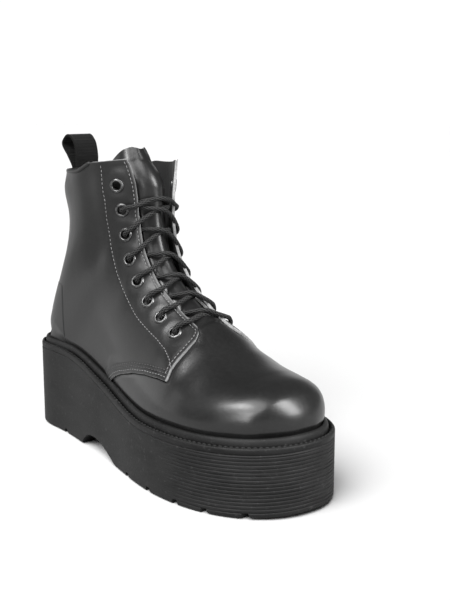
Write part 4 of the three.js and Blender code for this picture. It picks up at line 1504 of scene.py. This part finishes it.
def welt_stitches():
    """Moulded stitches standing in the ledge round the forefoot and waist."""
    ring = foot_ring(900, 5.75)
    path = np.column_stack([ring, rim_z(ring[:, 0]) + 0.1])
    path = np.concatenate([path, path[:1]])
    out = np.broadcast_to([0, 0, 1.0], path.shape)
    return sew("moulded_stitches", [(path, out)], WELT_RUBBER, "welt_rubber", pitch=3.7, length=3.0,
               width=1.5, thick=1.5, slant=0.22)


def insole():
    """Footbed following the foot's outline, raised at its edges and hollowed under the heel."""
    xs = np.linspace(-128.5, 129, 120)
    across = np.linspace(-1, 1, 50)[None]
    inset = lerp(5.6, 3.2, smooth(-128, -100, xs))
    low, high = [np.array([feather_y(x, sign) - sign * d for x, d in zip(xs, inset)])
                 for sign in (LATERAL, MEDIAL)]
    pinch = np.sqrt(np.clip(1 - np.abs(xs) / 130, 0.0008, 1) * 8).clip(0, 1)
    middle, half = (low + high) / 2, (high - low) / 2 * pinch
    y = middle[:, None] + half[:, None] * across
    crown = 0.9 * np.abs(across) ** 3 - 0.8 * np.exp(-((xs[:, None] + 88) / 30) ** 2)
    z = sole_top_z(xs)[:, None] + GAP + 4.2 + crown * (1 - across ** 2 * 0.3)
    points = np.stack([np.broadcast_to(xs[:, None], y.shape), y, z], 2)
    piece = lay_grid("footbed", points)
    give(piece, FOOTBED)
    thicken(piece, 3.6)
    soften(piece, 0.7, 3)
    return hand_over(piece, "insole_fabric", "insole")


# ---------------------------------------------------------------- studio
CAMERA = dict(azimuth=49.62, elevation=11.57, distance=738.9, lens=60.6)
TARGET = np.array([3.8, 47.7, 108.7])
KEY_LIGHT = dict(towards=(0.2, -0.52, 0.83), energy=4.0, spread=50)
SOFTBOXES = {               # place, aim and size in metres, watts
    "facing_softbox": ((0.43, -0.96, 0.49), (0, 0, 0.15), (0.3, 0.6), 8),
    "vamp_softbox": ((0.02, -0.68, 1.06), (0.1, 0, 0.07), (0.44, 0.26), 10),
    "toe_softbox": ((0.96, 0.31, 0.66), (0.1, 0, 0.07), (0.38, 0.9), 26),
    "heel_side_softbox": ((-1.2, -0.72, 0.42), (-0.02, 0, 0.15), (0.9, 1.0), 5.6),
}
BACKDROP = (-0.76, 0.65)    # direction of the white backdrop on plan
AIR = dict(dim=0.1, edge=0.18, bright=1.04)


def camera():
    azimuth, elevation = math.radians(CAMERA["azimuth"]), math.radians(CAMERA["elevation"])
    back = Vector((math.sin(azimuth) * math.cos(elevation), -math.cos(azimuth) * math.cos(elevation),
                   math.sin(elevation)))
    bpy.ops.object.camera_add(location=Vector(TARGET * MM) + back * CAMERA["distance"] * MM)
    eye = bpy.context.object
    eye.name = "studio_camera"
    eye.rotation_euler = back.to_track_quat("Z", "Y").to_euler()
    eye.data.lens = CAMERA["lens"]
    eye.data.sensor_fit = "AUTO"
    eye.data.sensor_width = 36
    eye.data.clip_start = 0.02
    bpy.context.scene.camera = eye


def softbox(name, place, aim, size, power):
    """A flat light that shines on the boot alone."""
    bpy.ops.object.light_add(type="AREA", location=place)
    light = bpy.context.object
    light.name = name
    light.data.shape = "RECTANGLE"
    light.data.size, light.data.size_y = size
    light.data.energy = power
    light.rotation_euler = (Vector(place) - Vector(aim)).to_track_quat("Z", "Y").to_euler()
    light.light_linking.receiver_collection = bpy.data.collections["boot_only"]


def studio_air():
    """White backdrop beyond the boot, dimmer behind the camera and overhead."""
    world = bpy.data.worlds.new("studio_air")
    bpy.context.scene.world = world
    world.use_nodes = True
    tree = world.node_tree
    air = tree.nodes["Background"]
    way = Field(tree, tree.nodes.new("ShaderNodeTexCoord").outputs["Generated"])
    split = tree.nodes.new("ShaderNodeSeparateXYZ")
    tree.links.new(way.socket, split.inputs[0])
    x, y, z = [Field(tree, out) for out in split.outputs]
    towards = (x * BACKDROP[0] + y * BACKDROP[1]).above(0.8, 0.94)
    low = 1 - z.above(0.15, 0.4)
    horizon = 1 - z.above(0, 0.5)
    dim = AIR["dim"] + (AIR["edge"] - AIR["dim"]) * horizon
    strength = dim + (AIR["bright"] - dim) * (towards * low)
    tree.links.new(strength.socket, air.inputs["Strength"])
    air.inputs["Color"].default_value = (1, 1, 1, 1)


def studio():
    bpy.ops.mesh.primitive_plane_add(size=14, location=(0, 0, 0))
    floor = bpy.context.object
    floor.name = "floor"
    give(floor, floor_finish())
    studio_air()
    boot_only = bpy.data.collections.new("boot_only")
    for piece in bpy.data.objects:
        if piece.type == "MESH" and piece != floor:
            boot_only.objects.link(piece)
    bpy.ops.object.light_add(type="SUN", location=(0, 0, 2))
    key = bpy.context.object
    key.name = "key_diffuser"
    key.data.energy = KEY_LIGHT["energy"]
    key.data.angle = math.radians(KEY_LIGHT["spread"])
    key.rotation_euler = Vector(KEY_LIGHT["towards"]).to_track_quat("Z", "Y").to_euler()
    for name, (place, aim, size, power) in SOFTBOXES.items():
        softbox(name, place, aim, size, power)
    bpy.context.scene.view_settings.view_transform = "Standard"


# ---------------------------------------------------------------- the boot
camera()
lace()
vamp()
quarter("lateral_quarter", LATERAL)
quarter("medial_quarter", MEDIAL)
back_strip()
collar_binding()
stitch_rows()
eyelets()
tongue()
pull_loop()
insole()
sole()
welt()
welt_stitches()
studio()
